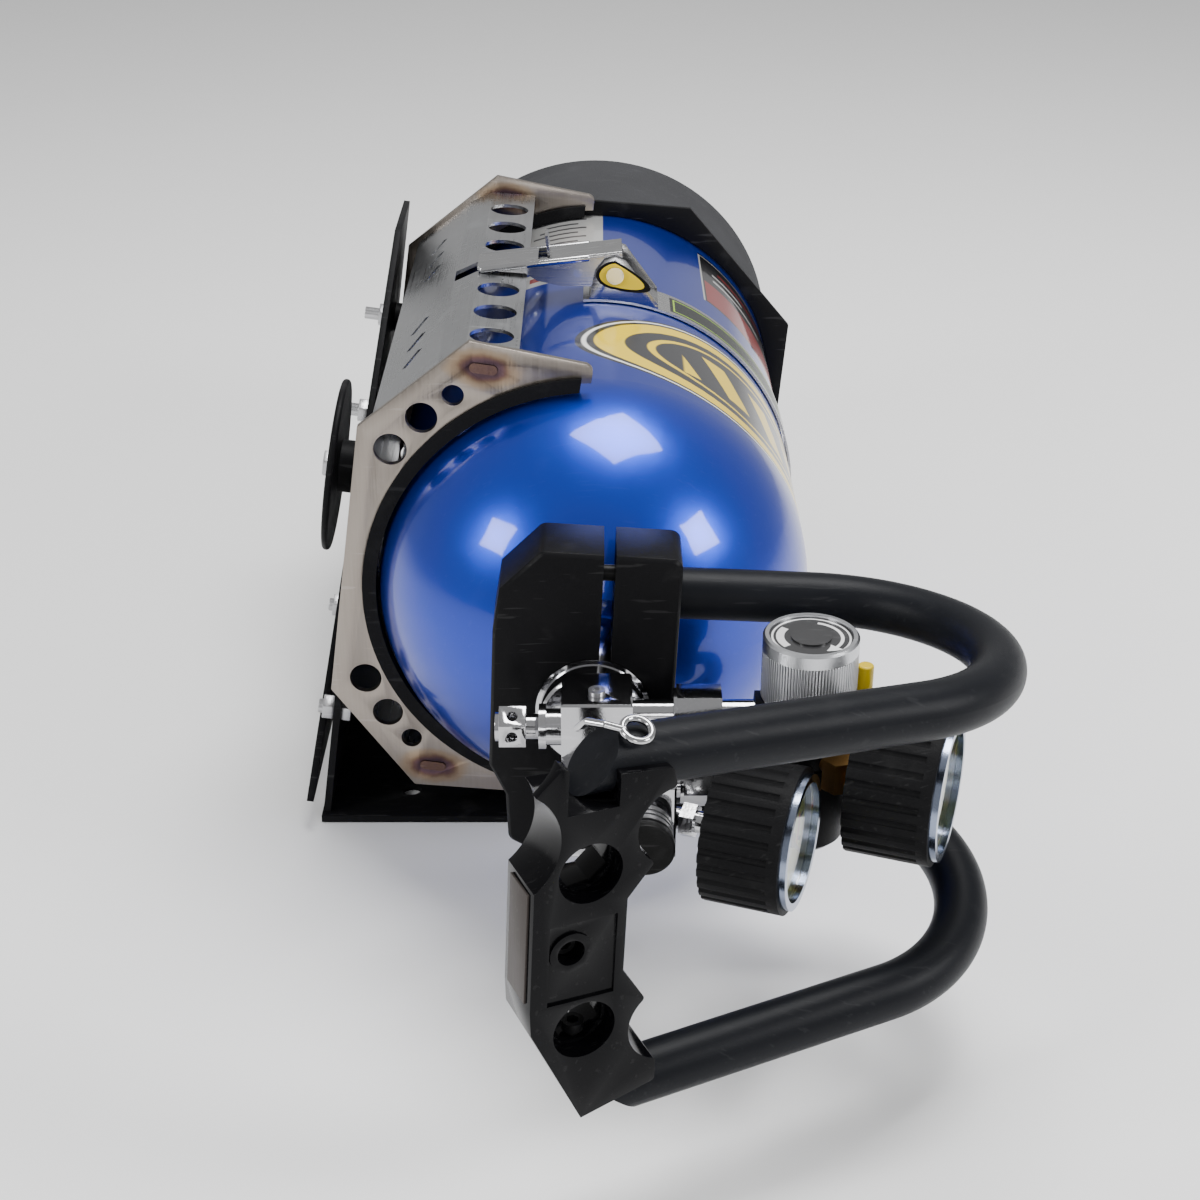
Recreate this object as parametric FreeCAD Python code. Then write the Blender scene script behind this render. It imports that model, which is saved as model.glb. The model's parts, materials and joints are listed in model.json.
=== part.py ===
import FreeCAD, Part
import math
import os
from FreeCAD import Placement, Rotation, Vector

# Portable gas cylinder pack, lying in a bolted cradle on a base tray, with a guarded
# valve end: a clamp block on the neck carries two bent hoop tubes that meet in a
# machined grip block.  Millimetres.
# Modelling frame: Y along the cylinder from the valve end to the boot, X to the right
# and Z up when looking at the valve end, origin on the cylinder axis in the front face
# of the front cradle plate.  export() moves everything to the row frame, whose origin
# is the middle of the tray's underside.

# ---------------------------------------------------------------- driving dimensions
TANK_R = 88.0                # outside radius of the aluminium cylinder
TANK_WALL = 5.0
TANK_END_Y = 338.0           # flat end of the cylinder
SHOULDER_Y = 15.0            # where the domed shoulder begins
SHOULDER_LENGTH = 82.0       # half axis of the shoulder along the cylinder
NECK_R = 24.0
NECK_FACE_Y = -65.0
NECK_BORE_R = 14.0
BOOT_WALL = 4.9
BOOT_LENGTH = 95.0
BOOT_CLEARANCE = 0.05

PLATE_T = 3.0                # cradle end plates
CRADLE_SPAN = 240.0          # outside to outside of the two end plates
CRADLE_ROLL = 8.3            # degrees about the cylinder axis
CRADLE_TOP_MARGIN = 12.7
CRADLE_HALF_TOP = TANK_R + CRADLE_TOP_MARGIN      # height of the plate's level edge above the axis
CRADLE_HALF_SIDE = TANK_R - 28.5      # half height of its vertical edge
CRADLE_CORNER_X = TANK_R - 25.3       # where the level edge ends
CRADLE_OUT_X = TANK_R + 14.0         # the vertical edge
ARM_TIP_X = 14.0             # how near the centre the two arms stop
ARM_TAPER = 3.5              # degrees
TRIM_LIP_R = TANK_R + 6.0            # outer edge of the rubber trim's lips
TRIM_LIP_T = 1.5
TRIM_CLEARANCE = 0.4         # trim to cylinder
TRIM_BASE_T = 3.2
LIGHTENING_R = TANK_R + 14.4         # pitch radius of the round holes in the end plates
WELD_X, WELD_Z = 56.0, TANK_R + 2.4  # plug welds that hold the sheet to the end plates
SHEET_T = 1.5
SHEET_EDGE = (43.0, TANK_R + 6.0)
SHEET_BEND = (64.0, TANK_R + 4.5)
SHEET_SHOULDER = (TANK_R - 14.0, TANK_R - 2.0)
SHEET_SIDE_X = TANK_R + 9.0
SHEET_SIDE_Z = TANK_R - 26.0
TOP_HOLE_R = 8.9

BAND_Y = CRADLE_SPAN / 2
BAND_W = 25.0
BAND_T = 1.0
WINDOW_RIGHT_X = -56.0       # edge of the sheet's window that the draw link hooks on
LATCH_PIVOT_X = 9.1
LATCH_PIVOT_Z = TANK_R + 12.4
LATCH_PIN_R = 2.5
LATCH_EAR_T = 1.5
LEVER_W = 20.0
LEVER_LENGTH = 59.0
LEVER_SLOPE = 6.5            # degrees, free end low
LEVER_TOP = 9.4              # top plate above the rivet
LEVER_T = 1.2
DRAW_PIN_R = 2.0
DRAW_PIN_AT = (-16.0, 2.0)   # draw link's pin in the lever's own frame
DRAW_LINK_W = 12.0
PIN_CLEARANCE = 0.05

TRAY_T = 3.0
TRAY_DROP = TANK_R + 22.0            # tray underside below the cylinder axis
TRAY_RIGHT_X = TANK_R + 19.0
TRAY_LENGTH = CRADLE_SPAN + 3.0
TRAY_LIP_X = SHEET_SIDE_X + 0.4   # inner face of the upturned side, cradle frame
TRAY_LIP_TOP = 42.0 - TANK_R         # upper edge of the upturned side, in the cradle's frame
TRAY_BOLT_X = 150.0          # spacing of the fixing holes
TRAY_BOLT_Y = 200.0
TRAY_HOLE_R = 4.25
BACK_PLATE_T = 3.0
DISC_R = 36.0
DISC_T = 3.0
RING_T = 3.0
RING_CORNER_R = TANK_R + 15.0        # corner circle of the rear ring plate

HANDLE_ROLL = 2.6            # degrees about the cylinder axis
BLOCK_FRONT_Y = -92.0
BLOCK_DEPTH = 25.8
BLOCK_LEFT_X = -37.5
BLOCK_RIGHT_X = 29.5
BLOCK_BORE_R = 21.0
SLIT_X = 3.5
SLIT_W = 4.3
HOOP_TUBE_R = 9.525          # 3/4 inch tube
HOOP_TUBE_WALL = 2.1
HOOP_HALF = 40.0             # rear legs above and below the axis
BLOCK_TOP_Z = HOOP_HALF + 22.5
CLAMP_SCREW_Z = HOOP_HALF + 12.0
GRIP_DRAWN_FOR = 40.0        # hoop spacing that the grip's outline is drawn for
HOOP_Y = -74.0
HOOP_BEND_X = 78.4
HOOP_BEND_R = 56.4
HOOP_TURN = 154.8            # degrees
HOOP_SPLAY = 8.2             # degrees, each hoop leans away from the other
HOOP_SOCKET = 14.0           # depth of the rear legs in the clamp block
GRIP_FROM_BEND = 113.0       # along the front leg, from the bend to the grip's centre
GRIP_FRONT = 12.5            # grip faces in front of and behind the tube axis
GRIP_REAR = 7.0

VALVE_SPIGOT_R = 13.95
DISC_FACE_R = 19.3
MANIFOLD_FRONT_Y = -124.0
RELIEF_Y = -115.5
LOWER_FRONT_Y = -144.0
SUPPLY_Z = 6.0
RETURN_Z = -24.0
LINE_Y = -105.0              # both lines and the regulator stand in this plane
REGULATOR_X = 77.0
REGULATOR_R = 15.0
REGULATOR_TOP = 12.0
REGULATOR_BOTTOM = -45.0
KNOB_R = 17.1
KNOB_H = 25.0
KNOB_GAP = 1.0
SPINDLE_R = 3.5
COUPLER_X = 18.0
COUPLER_Z = -15.0
COUPLER_R = 8.0
SLEEVE_R = 9.8
SLEEVE_L = 8.0
SLEEVE_TRAVEL = 3.5
CAP_R = 10.2

GAUGE_YAW = 20.0             # degrees, both faces turned towards the valve end
GAUGE_BOOT_WALL = 3.0
TANK_GAUGE_R = 26.0
TANK_GAUGE_DEPTH = 30.0
TANK_GAUGE_FACE = Vector(72.0, -152.0, -18.0)
STEM_SOCKET = 1.2            # how far the tank gauge's stem enters the manifold
LINE_GAUGE_R = 27.0
LINE_GAUGE_DEPTH = 32.0
LINE_GAUGE_FACE = Vector(REGULATOR_X + KNOB_R + 29.9, -137.0, -7.0)

X, Y, Z = Vector(1, 0, 0), Vector(0, 1, 0), Vector(0, 0, 1)
O = Vector(0, 0, 0)
ROLL = math.radians(CRADLE_ROLL)
LIP_FOOT_Z = -(TRAY_DROP + (TRAY_LIP_X + TRAY_T) * math.sin(ROLL)) / math.cos(ROLL)
TRAY_LEFT_X = LIP_FOOT_Z * math.sin(ROLL) - (TRAY_LIP_X + TRAY_T) * math.cos(ROLL)
ROW_SHIFT = Vector(-(TRAY_LEFT_X + TRAY_RIGHT_X) / 2, -TRAY_LENGTH / 2, TRAY_DROP)
made = []


# ---------------------------------------------------------------- helpers
def export(name, *solids):
    """Move the solids to the row frame and write them as one node."""
    shape = solids[0] if len(solids) == 1 else Part.makeCompound(list(solids))
    if isinstance(shape, Part.Compound) and len(shape.Solids) == 1:
        shape = shape.Solids[0]
    placed = shape.copy()
    placed.translate(ROW_SHIFT)
    placed.exportStep("parts/%s.step" % name)
    made.append(name)
    print("%-24s solids %d volume %.0f valid %s"
          % (name, len(placed.Solids), placed.Volume, placed.isValid()))


def rolled(shape, degrees):
    """Turn a shape about the cylinder axis, clockwise seen from the valve end."""
    out = shape.copy()
    out.rotate(O, Y, degrees)
    return out


def prism_y(points, y0, y1):
    """Solid between two Y planes with the outline given as (x, z) points."""
    ring = [Vector(x, y0, z) for x, z in points]
    return Part.Face(Part.makePolygon(ring + [ring[0]])).extrude(Vector(0, y1 - y0, 0))


def outline_y(edges, y1):
    """Solid made by moving a closed loop of edges along Y."""
    return Part.Face(Part.Wire(edges)).extrude(Vector(0, y1, 0))


def cyl(base, axis, radius, length):
    return Part.makeCylinder(radius, length, base, axis)


def ring(base, axis, outer, inner, length):
    return cyl(base, axis, outer, length).cut(cyl(base, axis, inner, length))


def box(x0, x1, y0, y1, z0, z1):
    return Part.makeBox(x1 - x0, y1 - y0, z1 - z0, Vector(x0, y0, z0))


def polygon_bar(base, axis, across_flats, length, sides=6, turn=0.0):
    """Prism with a regular polygon section, such as a hexagon or an octagon."""
    corner_r = across_flats / 2 / math.cos(math.pi / sides)
    corners = []
    for i in range(sides + 1):
        a = 2 * math.pi * i / sides + math.radians(turn)
        corners.append(Vector(corner_r * math.cos(a), corner_r * math.sin(a), 0))
    bar = Part.Face(Part.makePolygon(corners)).extrude(Vector(0, 0, length))
    bar.Placement = Placement(base, Rotation(Z, axis))
    return bar


def spin_y(points):
    """Turn a closed (radius, y) outline about the cylinder axis."""
    ring_pts = [Vector(r, y, 0) for r, y in points]
    return Part.Face(Part.makePolygon(ring_pts + [ring_pts[0]])).revolve(O, Y, 360)


def chamfered(shape, size, picks):
    """Chamfer the edges for which picks(edge) is true."""
    return shape.makeChamfer(size, [e for e in shape.Edges if picks(e)])


def rounded(shape, radius, picks):
    return shape.makeFillet(radius, [e for e in shape.Edges if picks(e)])


def along_y(edge):
    a, b = edge.Vertexes[0].Point, edge.Vertexes[-1].Point
    return abs(a.x - b.x) < 1e-6 and abs(a.z - b.z) < 1e-6 and abs(a.y - b.y) > 0.5


def socket_screw(seat, axis, thread_r, length, head_r, head_h):
    """Cap screw: the head stands on seat, the shank runs back along -axis."""
    head = cyl(seat, axis, head_r, head_h)
    shank = cyl(seat - axis * length, axis, thread_r, length)
    socket = polygon_bar(seat + axis * (head_h * 0.4), axis, head_r, head_h)
    return head.fuse(shank).cut(socket)


# ---------------------------------------------------------------- cylinder
def corner_arc(radius, end_y, corner):
    """Quarter round between a straight wall and a flat end, in the (radius, y) plane."""
    back = corner * (1 - math.sqrt(0.5))
    return (Vector(radius, end_y - corner, 0), Vector(radius - back, end_y - back, 0),
            Vector(radius - corner, end_y, 0))


def shoulder_curve(radius, depth, neck_r):
    """Smooth elliptical shoulder from the straight wall in to the neck radius."""
    points = []
    stop = math.acos(neck_r / radius)
    for i in range(13):
        a = stop * i / 12
        points.append(Vector(radius * math.cos(a), SHOULDER_Y - depth * math.sin(a), 0))
    curve = Part.BSplineCurve()
    curve.interpolate(points)
    return curve.toShape(), points[0], points[-1]


def make_cylinder():
    """Seamless cylinder turned from one closed section: wall, shoulder, neck and bore."""
    outer, wall_a, neck_a = shoulder_curve(TANK_R, SHOULDER_LENGTH, NECK_R + 6)
    inner_r = TANK_R - TANK_WALL
    inner, wall_b, neck_b = shoulder_curve(inner_r, SHOULDER_LENGTH - 9.0, NECK_BORE_R)
    end_a, end_mid, end_b = corner_arc(TANK_R, TANK_END_Y, 14.0)
    floor_a, floor_mid, floor_b = corner_arc(inner_r, TANK_END_Y - 9.0, 9.0)
    neck_root = Vector(NECK_R, neck_a.y - 0.5, 0)
    neck_top = Vector(NECK_R, NECK_FACE_Y, 0)
    bore_top = Vector(NECK_BORE_R, NECK_FACE_Y, 0)
    axis_out = Vector(0, TANK_END_Y, 0)
    axis_in = Vector(0, TANK_END_Y - 9.0, 0)
    edges = [outer, Part.makeLine(wall_a, end_a), Part.Arc(end_a, end_mid, end_b).toShape(),
             Part.makeLine(end_b, axis_out), Part.makeLine(axis_out, axis_in),
             Part.makeLine(axis_in, floor_b), Part.Arc(floor_b, floor_mid, floor_a).toShape(),
             Part.makeLine(floor_a, wall_b), inner, Part.makeLine(neck_b, bore_top),
             Part.makeLine(bore_top, neck_top), Part.makeLine(neck_top, neck_root),
             Part.makeLine(neck_root, neck_a)]
    section = Part.Face(Part.Wire(Part.__sortEdges__(edges)))
    return section.revolve(O, Y, 360)


def cup_solid(radius, start_y, end_y, corner):
    a, mid, b = corner_arc(radius, end_y, corner)
    edges = [Part.makeLine(Vector(0, start_y, 0), Vector(radius, start_y, 0)),
             Part.makeLine(Vector(radius, start_y, 0), a), Part.Arc(a, mid, b).toShape(),
             Part.makeLine(b, Vector(0, end_y, 0)),
             Part.makeLine(Vector(0, end_y, 0), Vector(0, start_y, 0))]
    return Part.Face(Part.Wire(edges)).revolve(O, Y, 360)


def make_boot():
    """Moulded cup over the flat end, following the cylinder's rounded corner."""
    inner_r = TANK_R + BOOT_CLEARANCE
    end_in = TANK_END_Y + BOOT_CLEARANCE
    lip_y = end_in + BOOT_WALL - BOOT_LENGTH
    cup = cup_solid(inner_r + BOOT_WALL, lip_y, end_in + BOOT_WALL, 18.0)
    return cup.cut(cup_solid(inner_r, lip_y - 1, end_in, 14.0))


# ---------------------------------------------------------------- cradle
def mirror_points(points):
    return points + [(x, -z) for x, z in reversed(points)]


def cradle_plate(y0):
    """C shaped end plate with three lightening holes in each arm."""
    taper = math.tan(math.radians(ARM_TAPER))
    tip_z = CRADLE_HALF_TOP - (CRADLE_CORNER_X - ARM_TIP_X) * taper
    upper = [(-ARM_TIP_X, tip_z), (-CRADLE_CORNER_X, CRADLE_HALF_TOP),
             (-CRADLE_OUT_X, CRADLE_HALF_SIDE)]
    plate = prism_y(mirror_points(upper), y0, y0 + PLATE_T)
    bore_r = TANK_R + TRIM_CLEARANCE + TRIM_BASE_T
    plate = plate.cut(cyl(Vector(0, y0 - 1, 0), Y, bore_r, PLATE_T + 2))
    plate = rounded(plate, 3.5, lambda e: along_y(e)
                    and abs(e.Vertexes[0].Point.x + ARM_TIP_X) < 0.1
                    and abs(e.Vertexes[0].Point.z) > tip_z - 0.1)
    for angle, radius in ((30.5, 6.5), (40.8, 6.25), (49.6, 4.25)):
        for side in (1, -1):
            a = math.radians(angle)
            at = Vector(-LIGHTENING_R * math.cos(a), y0 - 1, side * LIGHTENING_R * math.sin(a))
            plate = plate.cut(cyl(at, Y, radius, PLATE_T + 2))
    for side in (1, -1):
        plate = plate.cut(weld_slot(y0 - 1, PLATE_T + 2, side))
    return rolled(plate, CRADLE_ROLL)


def weld_slot(y0, length, side):
    """Round-ended bar the size of one plug weld, in the cradle's own frame."""
    z = side * WELD_Z
    bar = box(-WELD_X - 3.5, -WELD_X + 3.5, y0, y0 + length, z - 2, z + 2)
    for x in (-WELD_X - 3.5, -WELD_X + 3.5):
        bar = bar.fuse(cyl(Vector(x, y0, z), Y, 2.0, length))
    return bar.removeSplitter()


def weld_plugs():
    """Weld metal filling the slots of both end plates, a little proud outside."""
    plugs = []
    for y0 in (-0.3, CRADLE_SPAN - PLATE_T):
        for side in (1, -1):
            plugs.append(rolled(weld_slot(y0, PLATE_T + 0.3, side), CRADLE_ROLL))
    return plugs


def rubber_trim(y0, lips):
    """Edge trim that seats the cylinder in an end plate, with a lip at each given Y."""
    inner = TANK_R + TRIM_CLEARANCE
    web = ring(Vector(0, y0, 0), Y, inner + TRIM_BASE_T, inner, PLATE_T)
    for lip_y in lips:
        web = web.fuse(ring(Vector(0, lip_y, 0), Y, TRIM_LIP_R, inner, TRIM_LIP_T))
    keep = box(-TRIM_LIP_R - 1, -ARM_TIP_X - 4, y0 - 5, y0 + PLATE_T + 5,
               -TRIM_LIP_R, TRIM_LIP_R)
    return rolled(web.common(keep).removeSplitter(), CRADLE_ROLL)


def offset_inward(points, distance):
    """Move a polyline to its right-hand side by distance, with mitred corners."""
    out = []
    for i, (x, z) in enumerate(points):
        normals = []
        for j in (i - 1, i):
            if 0 <= j < len(points) - 1:
                dx = points[j + 1][0] - points[j][0]
                dz = points[j + 1][1] - points[j][1]
                length = math.hypot(dx, dz)
                normals.append((-dz / length, dx / length))
        nx = sum(n[0] for n in normals)
        nz = sum(n[1] for n in normals)
        scale = distance * len(normals) / (nx * nx + nz * nz)
        out.append((x + nx * scale, z + nz * scale))
    return out


SHEET_LINE = [(-SHEET_EDGE[0], SHEET_EDGE[1]), (-SHEET_BEND[0], SHEET_BEND[1]),
              (-SHEET_SHOULDER[0], SHEET_SHOULDER[1]), (-SHEET_SIDE_X, SHEET_SIDE_Z)]


def cradle_sheet():
    """Folded sheet between the end plates, with lightening holes, slots and windows."""
    outer = mirror_points(SHEET_LINE)
    section = outer + list(reversed(offset_inward(outer, SHEET_T)))
    sheet = prism_y(section, PLATE_T, CRADLE_SPAN - PLATE_T)
    middle_x = -(SHEET_EDGE[0] + SHEET_BEND[0]) / 2 - 1
    middle_y = CRADLE_SPAN / 2
    for side in (1, -1):
        for offset in (31.0, 60.0, 89.0):
            for y in (middle_y - offset, middle_y + offset):
                base = Vector(middle_x, y, side * (SHEET_BEND[1] - 5))
                sheet = sheet.cut(cyl(base, Z * side, TOP_HOLE_R, 12))
        window = box(-SHEET_SHOULDER[0], WINDOW_RIGHT_X, BAND_Y - 7, BAND_Y + 7,
                     SHEET_SHOULDER[1] - 8, SHEET_EDGE[1] + 3)
        if side < 0:
            window = window.mirror(O, Z)
        sheet = sheet.cut(window)
    dx = SHEET_SIDE_X - SHEET_SHOULDER[0]
    dz = SHEET_SHOULDER[1] - SHEET_SIDE_Z
    normal = Vector(-dz, 0, dx).normalize()
    centre_x = -(SHEET_SIDE_X + SHEET_SHOULDER[0]) / 2
    centre_z = (SHEET_SIDE_Z + SHEET_SHOULDER[1]) / 2
    for offset in (-76, -56, -36, 36, 56, 76):
        slot = box(-6.5, 6.5, -1.5, 1.5, -4, 4)
        slot.rotate(O, Z, 55)
        slot.Placement = Placement(Vector(centre_x, middle_y + offset, centre_z),
                                   Rotation(Z, normal)).multiply(slot.Placement)
        sheet = sheet.cut(slot)
    return rolled(sheet, CRADLE_ROLL)


BAND_R = TANK_R + TRIM_CLEARANCE + 0.1
BAND_ANCHOR = 180 + CRADLE_ROLL + 37.0


def band():
    """Clamp band from the latch base, round the right side, to the lower window."""
    r0 = BAND_R
    y0 = BAND_Y - BAND_W / 2
    strip = Part.Face(Part.makePolygon([
        Vector(0, y0, r0), Vector(0, y0, r0 + BAND_T), Vector(0, y0 + BAND_W, r0 + BAND_T),
        Vector(0, y0 + BAND_W, r0), Vector(0, y0, r0)]))
    strip.rotate(O, Y, -3.0)
    strap = strip.revolve(O, Y, 3.0 + BAND_ANCHOR)
    tab = box(-BAND_T / 2, BAND_T / 2, BAND_Y - 6, BAND_Y + 6, r0 + 0.2, TANK_R + 25.0)
    hook = box(-4.5, 4.5, BAND_Y - 6, BAND_Y + 6, TANK_R + 25.0,
               TANK_R + 26.5)
    return strap.fuse(rolled(tab.fuse(hook), BAND_ANCHOR)).removeSplitter()


def in_lever_frame(shape):
    """Place a shape drawn about the latch rivet, with the lever shut."""
    out = shape.copy()
    out.rotate(O, Y, -LEVER_SLOPE)
    out.translate(Vector(LATCH_PIVOT_X, BAND_Y, LATCH_PIVOT_Z))
    return out


def latch_base():
    """Curved foot on the band with two rounded ears."""
    foot_r = BAND_R + BAND_T
    half = LEVER_W / 2 + 1.0 + LATCH_EAR_T
    foot = ring(Vector(0, BAND_Y - half, 0), Y, foot_r + LATCH_EAR_T, foot_r, 2 * half)
    foot = foot.common(box(-2, 28, BAND_Y - half, BAND_Y + half, 0, 2 * TANK_R))
    foot_z = LATCH_PIVOT_Z - foot_r
    ear = prism_y([(-11.0, -foot_z + 0.6), (-8.5, 1.0), (-4.5, 6.2), (0.0, 7.8), (4.8, 6.0),
                   (8.0, 1.5), (18.9, -foot_z - 2.6)], 0, LATCH_EAR_T)
    ear.translate(Vector(LATCH_PIVOT_X, 0, LATCH_PIVOT_Z))
    ear = ear.cut(cyl(Vector(0, -1, 0), Y, foot_r, 10))
    whole = foot
    for y0 in (BAND_Y - half, BAND_Y + half - LATCH_EAR_T):
        side = ear.copy()
        side.translate(Vector(0, y0, 0))
        whole = whole.fuse(side)
    pin = cyl(Vector(LATCH_PIVOT_X, BAND_Y - 30, LATCH_PIVOT_Z), Y, LATCH_PIN_R, 60)
    return whole.cut(pin).removeSplitter()


def latch_rivet():
    half = LEVER_W / 2 + 1.0 + LATCH_EAR_T
    base = Vector(LATCH_PIVOT_X, BAND_Y - half, LATCH_PIVOT_Z)
    pin = cyl(base, Y, LATCH_PIN_R, 2 * half)
    near = cyl(base - Y * 1.6, Y, 3.8, 1.6)
    far = cyl(base + Y * (2 * half), Y, 3.8, 1.6)
    return pin.fuse(near).fuse(far)


def latch_lever():
    """Channel lever, open underneath, with a cross gap in its top plate."""
    half = LEVER_W / 2
    flange = [(-LEVER_LENGTH, LEVER_TOP - LEVER_T), (-38.6, 4.4), (-34, 0.5), (-24, -3.0),
              (-12, -4.6), (-3.6, -5.0), (1.5, -4.6), (4.0, -1.5), (4.0, LEVER_TOP),
              (-LEVER_LENGTH, LEVER_TOP)]
    solid = prism_y(flange, -half, half)
    under = LEVER_TOP - LEVER_T
    hollow = prism_y([(-LEVER_LENGTH - 1, -9), (5, -9), (5, under), (-LEVER_LENGTH - 1, under)],
                     -half + LEVER_T, half - LEVER_T)
    lever = solid.cut(hollow)
    lever = rounded(lever, 1.1, lambda e: e.Length > 40
                    and abs(e.CenterOfMass.z - LEVER_TOP) < 0.1
                    and abs(abs(e.CenterOfMass.y) - half) < 0.1)
    lever = lever.cut(box(-32.5, -27.3, -half + 2.2, half - 2.2, 7, 12))
    lever = lever.fuse(box(-28.4, -27.2, -5, 5, under, LEVER_TOP + 9))
    lever = lever.cut(cyl(Vector(0, -half - 1, 0), Y, LATCH_PIN_R + PIN_CLEARANCE, LEVER_W + 2))
    pin_at = Vector(DRAW_PIN_AT[0], -half - 1, DRAW_PIN_AT[1])
    return in_lever_frame(lever.cut(cyl(pin_at, Y, DRAW_PIN_R, LEVER_W + 2)))


def in_cradle(x, z):
    """Point of the cradle's own frame, in the modelling frame, level with the band."""
    return Rotation(Y, CRADLE_ROLL).multVec(Vector(x, 0, z)) + Y * BAND_Y


def draw_pin_centre():
    at = Vector(DRAW_PIN_AT[0], 0, DRAW_PIN_AT[1])
    turned = Rotation(Y, -LEVER_SLOPE).multVec(at)
    return turned + Vector(LATCH_PIVOT_X, BAND_Y, LATCH_PIVOT_Z)


def draw_link():
    """Flat link under the lever whose turned-down end drops into the sheet's window."""
    pin = draw_pin_centre()
    half = DRAW_LINK_W / 2
    edge = in_cradle(WINDOW_RIGHT_X, SHEET_EDGE[1] - 0.9)
    leg_x = edge.x - 2.6 - pin.x
    over = edge.z + 0.6 - pin.z
    side = [(3.2, -3.2), (3.2, 3.2), (-3.2, 3.2), (leg_x + 14, over + 1.1),
            (leg_x - 0.6, over + 1.1), (leg_x - 0.6, over - 4.6), (leg_x + 0.6, over - 4.6),
            (leg_x + 0.6, over), (leg_x + 14, over), (-3.2, -2.4)]
    bar = prism_y(side, -half, half)
    bar.translate(pin)
    return bar.cut(cyl(pin - Y * (half + 1), Y, DRAW_PIN_R + PIN_CLEARANCE, DRAW_LINK_W + 2))


# ---------------------------------------------------------------- outer bracket
def base_tray():
    """Flat tray with one side turned up along the cradle's outer face."""
    floor_z = -TRAY_DROP
    floor = box(TRAY_LEFT_X, TRAY_RIGHT_X, 0, TRAY_LENGTH, floor_z, floor_z + TRAY_T)
    floor = rounded(floor, 12, lambda e: e.Length < TRAY_T + 0.1 and e.CenterOfMass.x > 0)
    lip = box(-TRAY_LIP_X - TRAY_T, -TRAY_LIP_X, PLATE_T + 1, CRADLE_SPAN - PLATE_T - 1,
              -TRAY_DROP - 40, TRAY_LIP_TOP)
    for y, z in (FRONT_SCREW,) + TRAY_SCREWS:
        lip = lip.cut(cyl(Vector(-TRAY_LIP_X + 1, y, z), -X, 3.0, TRAY_T + 2))
    lip = rolled(lip, CRADLE_ROLL)
    lip = lip.cut(box(-300, 300, -10, TRAY_LENGTH + 10, -400, floor_z))
    tray = floor.fuse(lip).removeSplitter()
    middle_x = (TRAY_LEFT_X + TRAY_RIGHT_X) / 2
    for sx in (-1, 1):
        for sy in (-1, 1):
            at = Vector(middle_x + sx * TRAY_BOLT_X / 2,
                        TRAY_LENGTH / 2 + sy * TRAY_BOLT_Y / 2, floor_z - 1)
            tray = tray.cut(cyl(at, Z, TRAY_HOLE_R, TRAY_T + 2))
    return tray


LIP_OUT = TRAY_LIP_X + TRAY_T
BACK_X = LIP_OUT + 4.1                    # inner face of the back plate, cradle frame
FRONT_SCREW = (12.0, 13.0 - TANK_R)       # (y, z) through the tray's side only
TRAY_SCREWS = ((110.0, 10.0 - TANK_R), (CRADLE_SPAN - 25.0, 10.0 - TANK_R))
BACK_STUDS = ((150.0, 5.0), (CRADLE_SPAN - 11.0, 25.0))
DISC_AT = (46.0, 22.0)
HEX_AF = 10.0


def back_plate():
    """Black gusset on the outer side, its front edge cut on a slant."""
    low, top, end = -(TRAY_DROP + 3.4), 77.0, CRADLE_SPAN + 15.0
    plate = Part.Face(Part.makePolygon([
        Vector(-BACK_X, -4, low), Vector(-BACK_X, end, low), Vector(-BACK_X, end, top),
        Vector(-BACK_X, end - 51, top), Vector(-BACK_X, -4, low)]))
    plate = plate.extrude(Vector(-BACK_PLATE_T, 0, 0))
    for y, z in TRAY_SCREWS + BACK_STUDS:
        plate = plate.cut(cyl(Vector(-BACK_X + 1, y, z), -X, 3.0, BACK_PLATE_T + 2))
    return rolled(plate, CRADLE_ROLL)


def side_spacers():
    """Round spacers under the back plate, two from the tray and two from the sheet."""
    pieces = []
    for y, z in TRAY_SCREWS:
        pieces.append(ring(Vector(-LIP_OUT, y, z), -X, 7.0, 3.0, BACK_X - LIP_OUT))
    for y, z in BACK_STUDS:
        pieces.append(ring(Vector(-SHEET_SIDE_X, y, z), -X, 7.0, 3.0, BACK_X - SHEET_SIDE_X))
    return [rolled(p, CRADLE_ROLL) for p in pieces]


def side_bolts():
    """Hex screws and studs across the cradle's outer side, with their nuts."""
    pieces = []
    for (y, z), far in [(FRONT_SCREW, LIP_OUT)] + [(at, BACK_X + BACK_PLATE_T)
                                                   for at in TRAY_SCREWS]:
        inner = Vector(-TRAY_LIP_X, y, z)
        shank = cyl(inner, -X, 3.0, far - TRAY_LIP_X + 7.0)
        head = polygon_bar(inner, X, HEX_AF, 4.0)
        nut = polygon_bar(Vector(-far, y, z), -X, HEX_AF, 5.0)
        pieces.append(shank.fuse(head).fuse(nut))
    for y, z in BACK_STUDS:
        start = Vector(-SHEET_SIDE_X, y, z)
        stud = cyl(start, -X, 3.0, BACK_X - SHEET_SIDE_X + BACK_PLATE_T + 12)
        nut = polygon_bar(Vector(-BACK_X - BACK_PLATE_T, y, z), -X, HEX_AF, 5.0)
        pieces.append(stud.fuse(nut))
    centre = Vector(-SHEET_SIDE_X, DISC_AT[0], DISC_AT[1])
    depth = DISC_X + DISC_T - SHEET_SIDE_X
    pieces.append(cyl(centre, -X, 3.0, depth)
                  .fuse(polygon_bar(centre - X * depth, -X, HEX_AF, 4.0)))
    return [rolled(p, CRADLE_ROLL) for p in pieces]


DISC_X = BACK_X + BACK_PLATE_T + 3.0      # inner face of the disc plate


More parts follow.
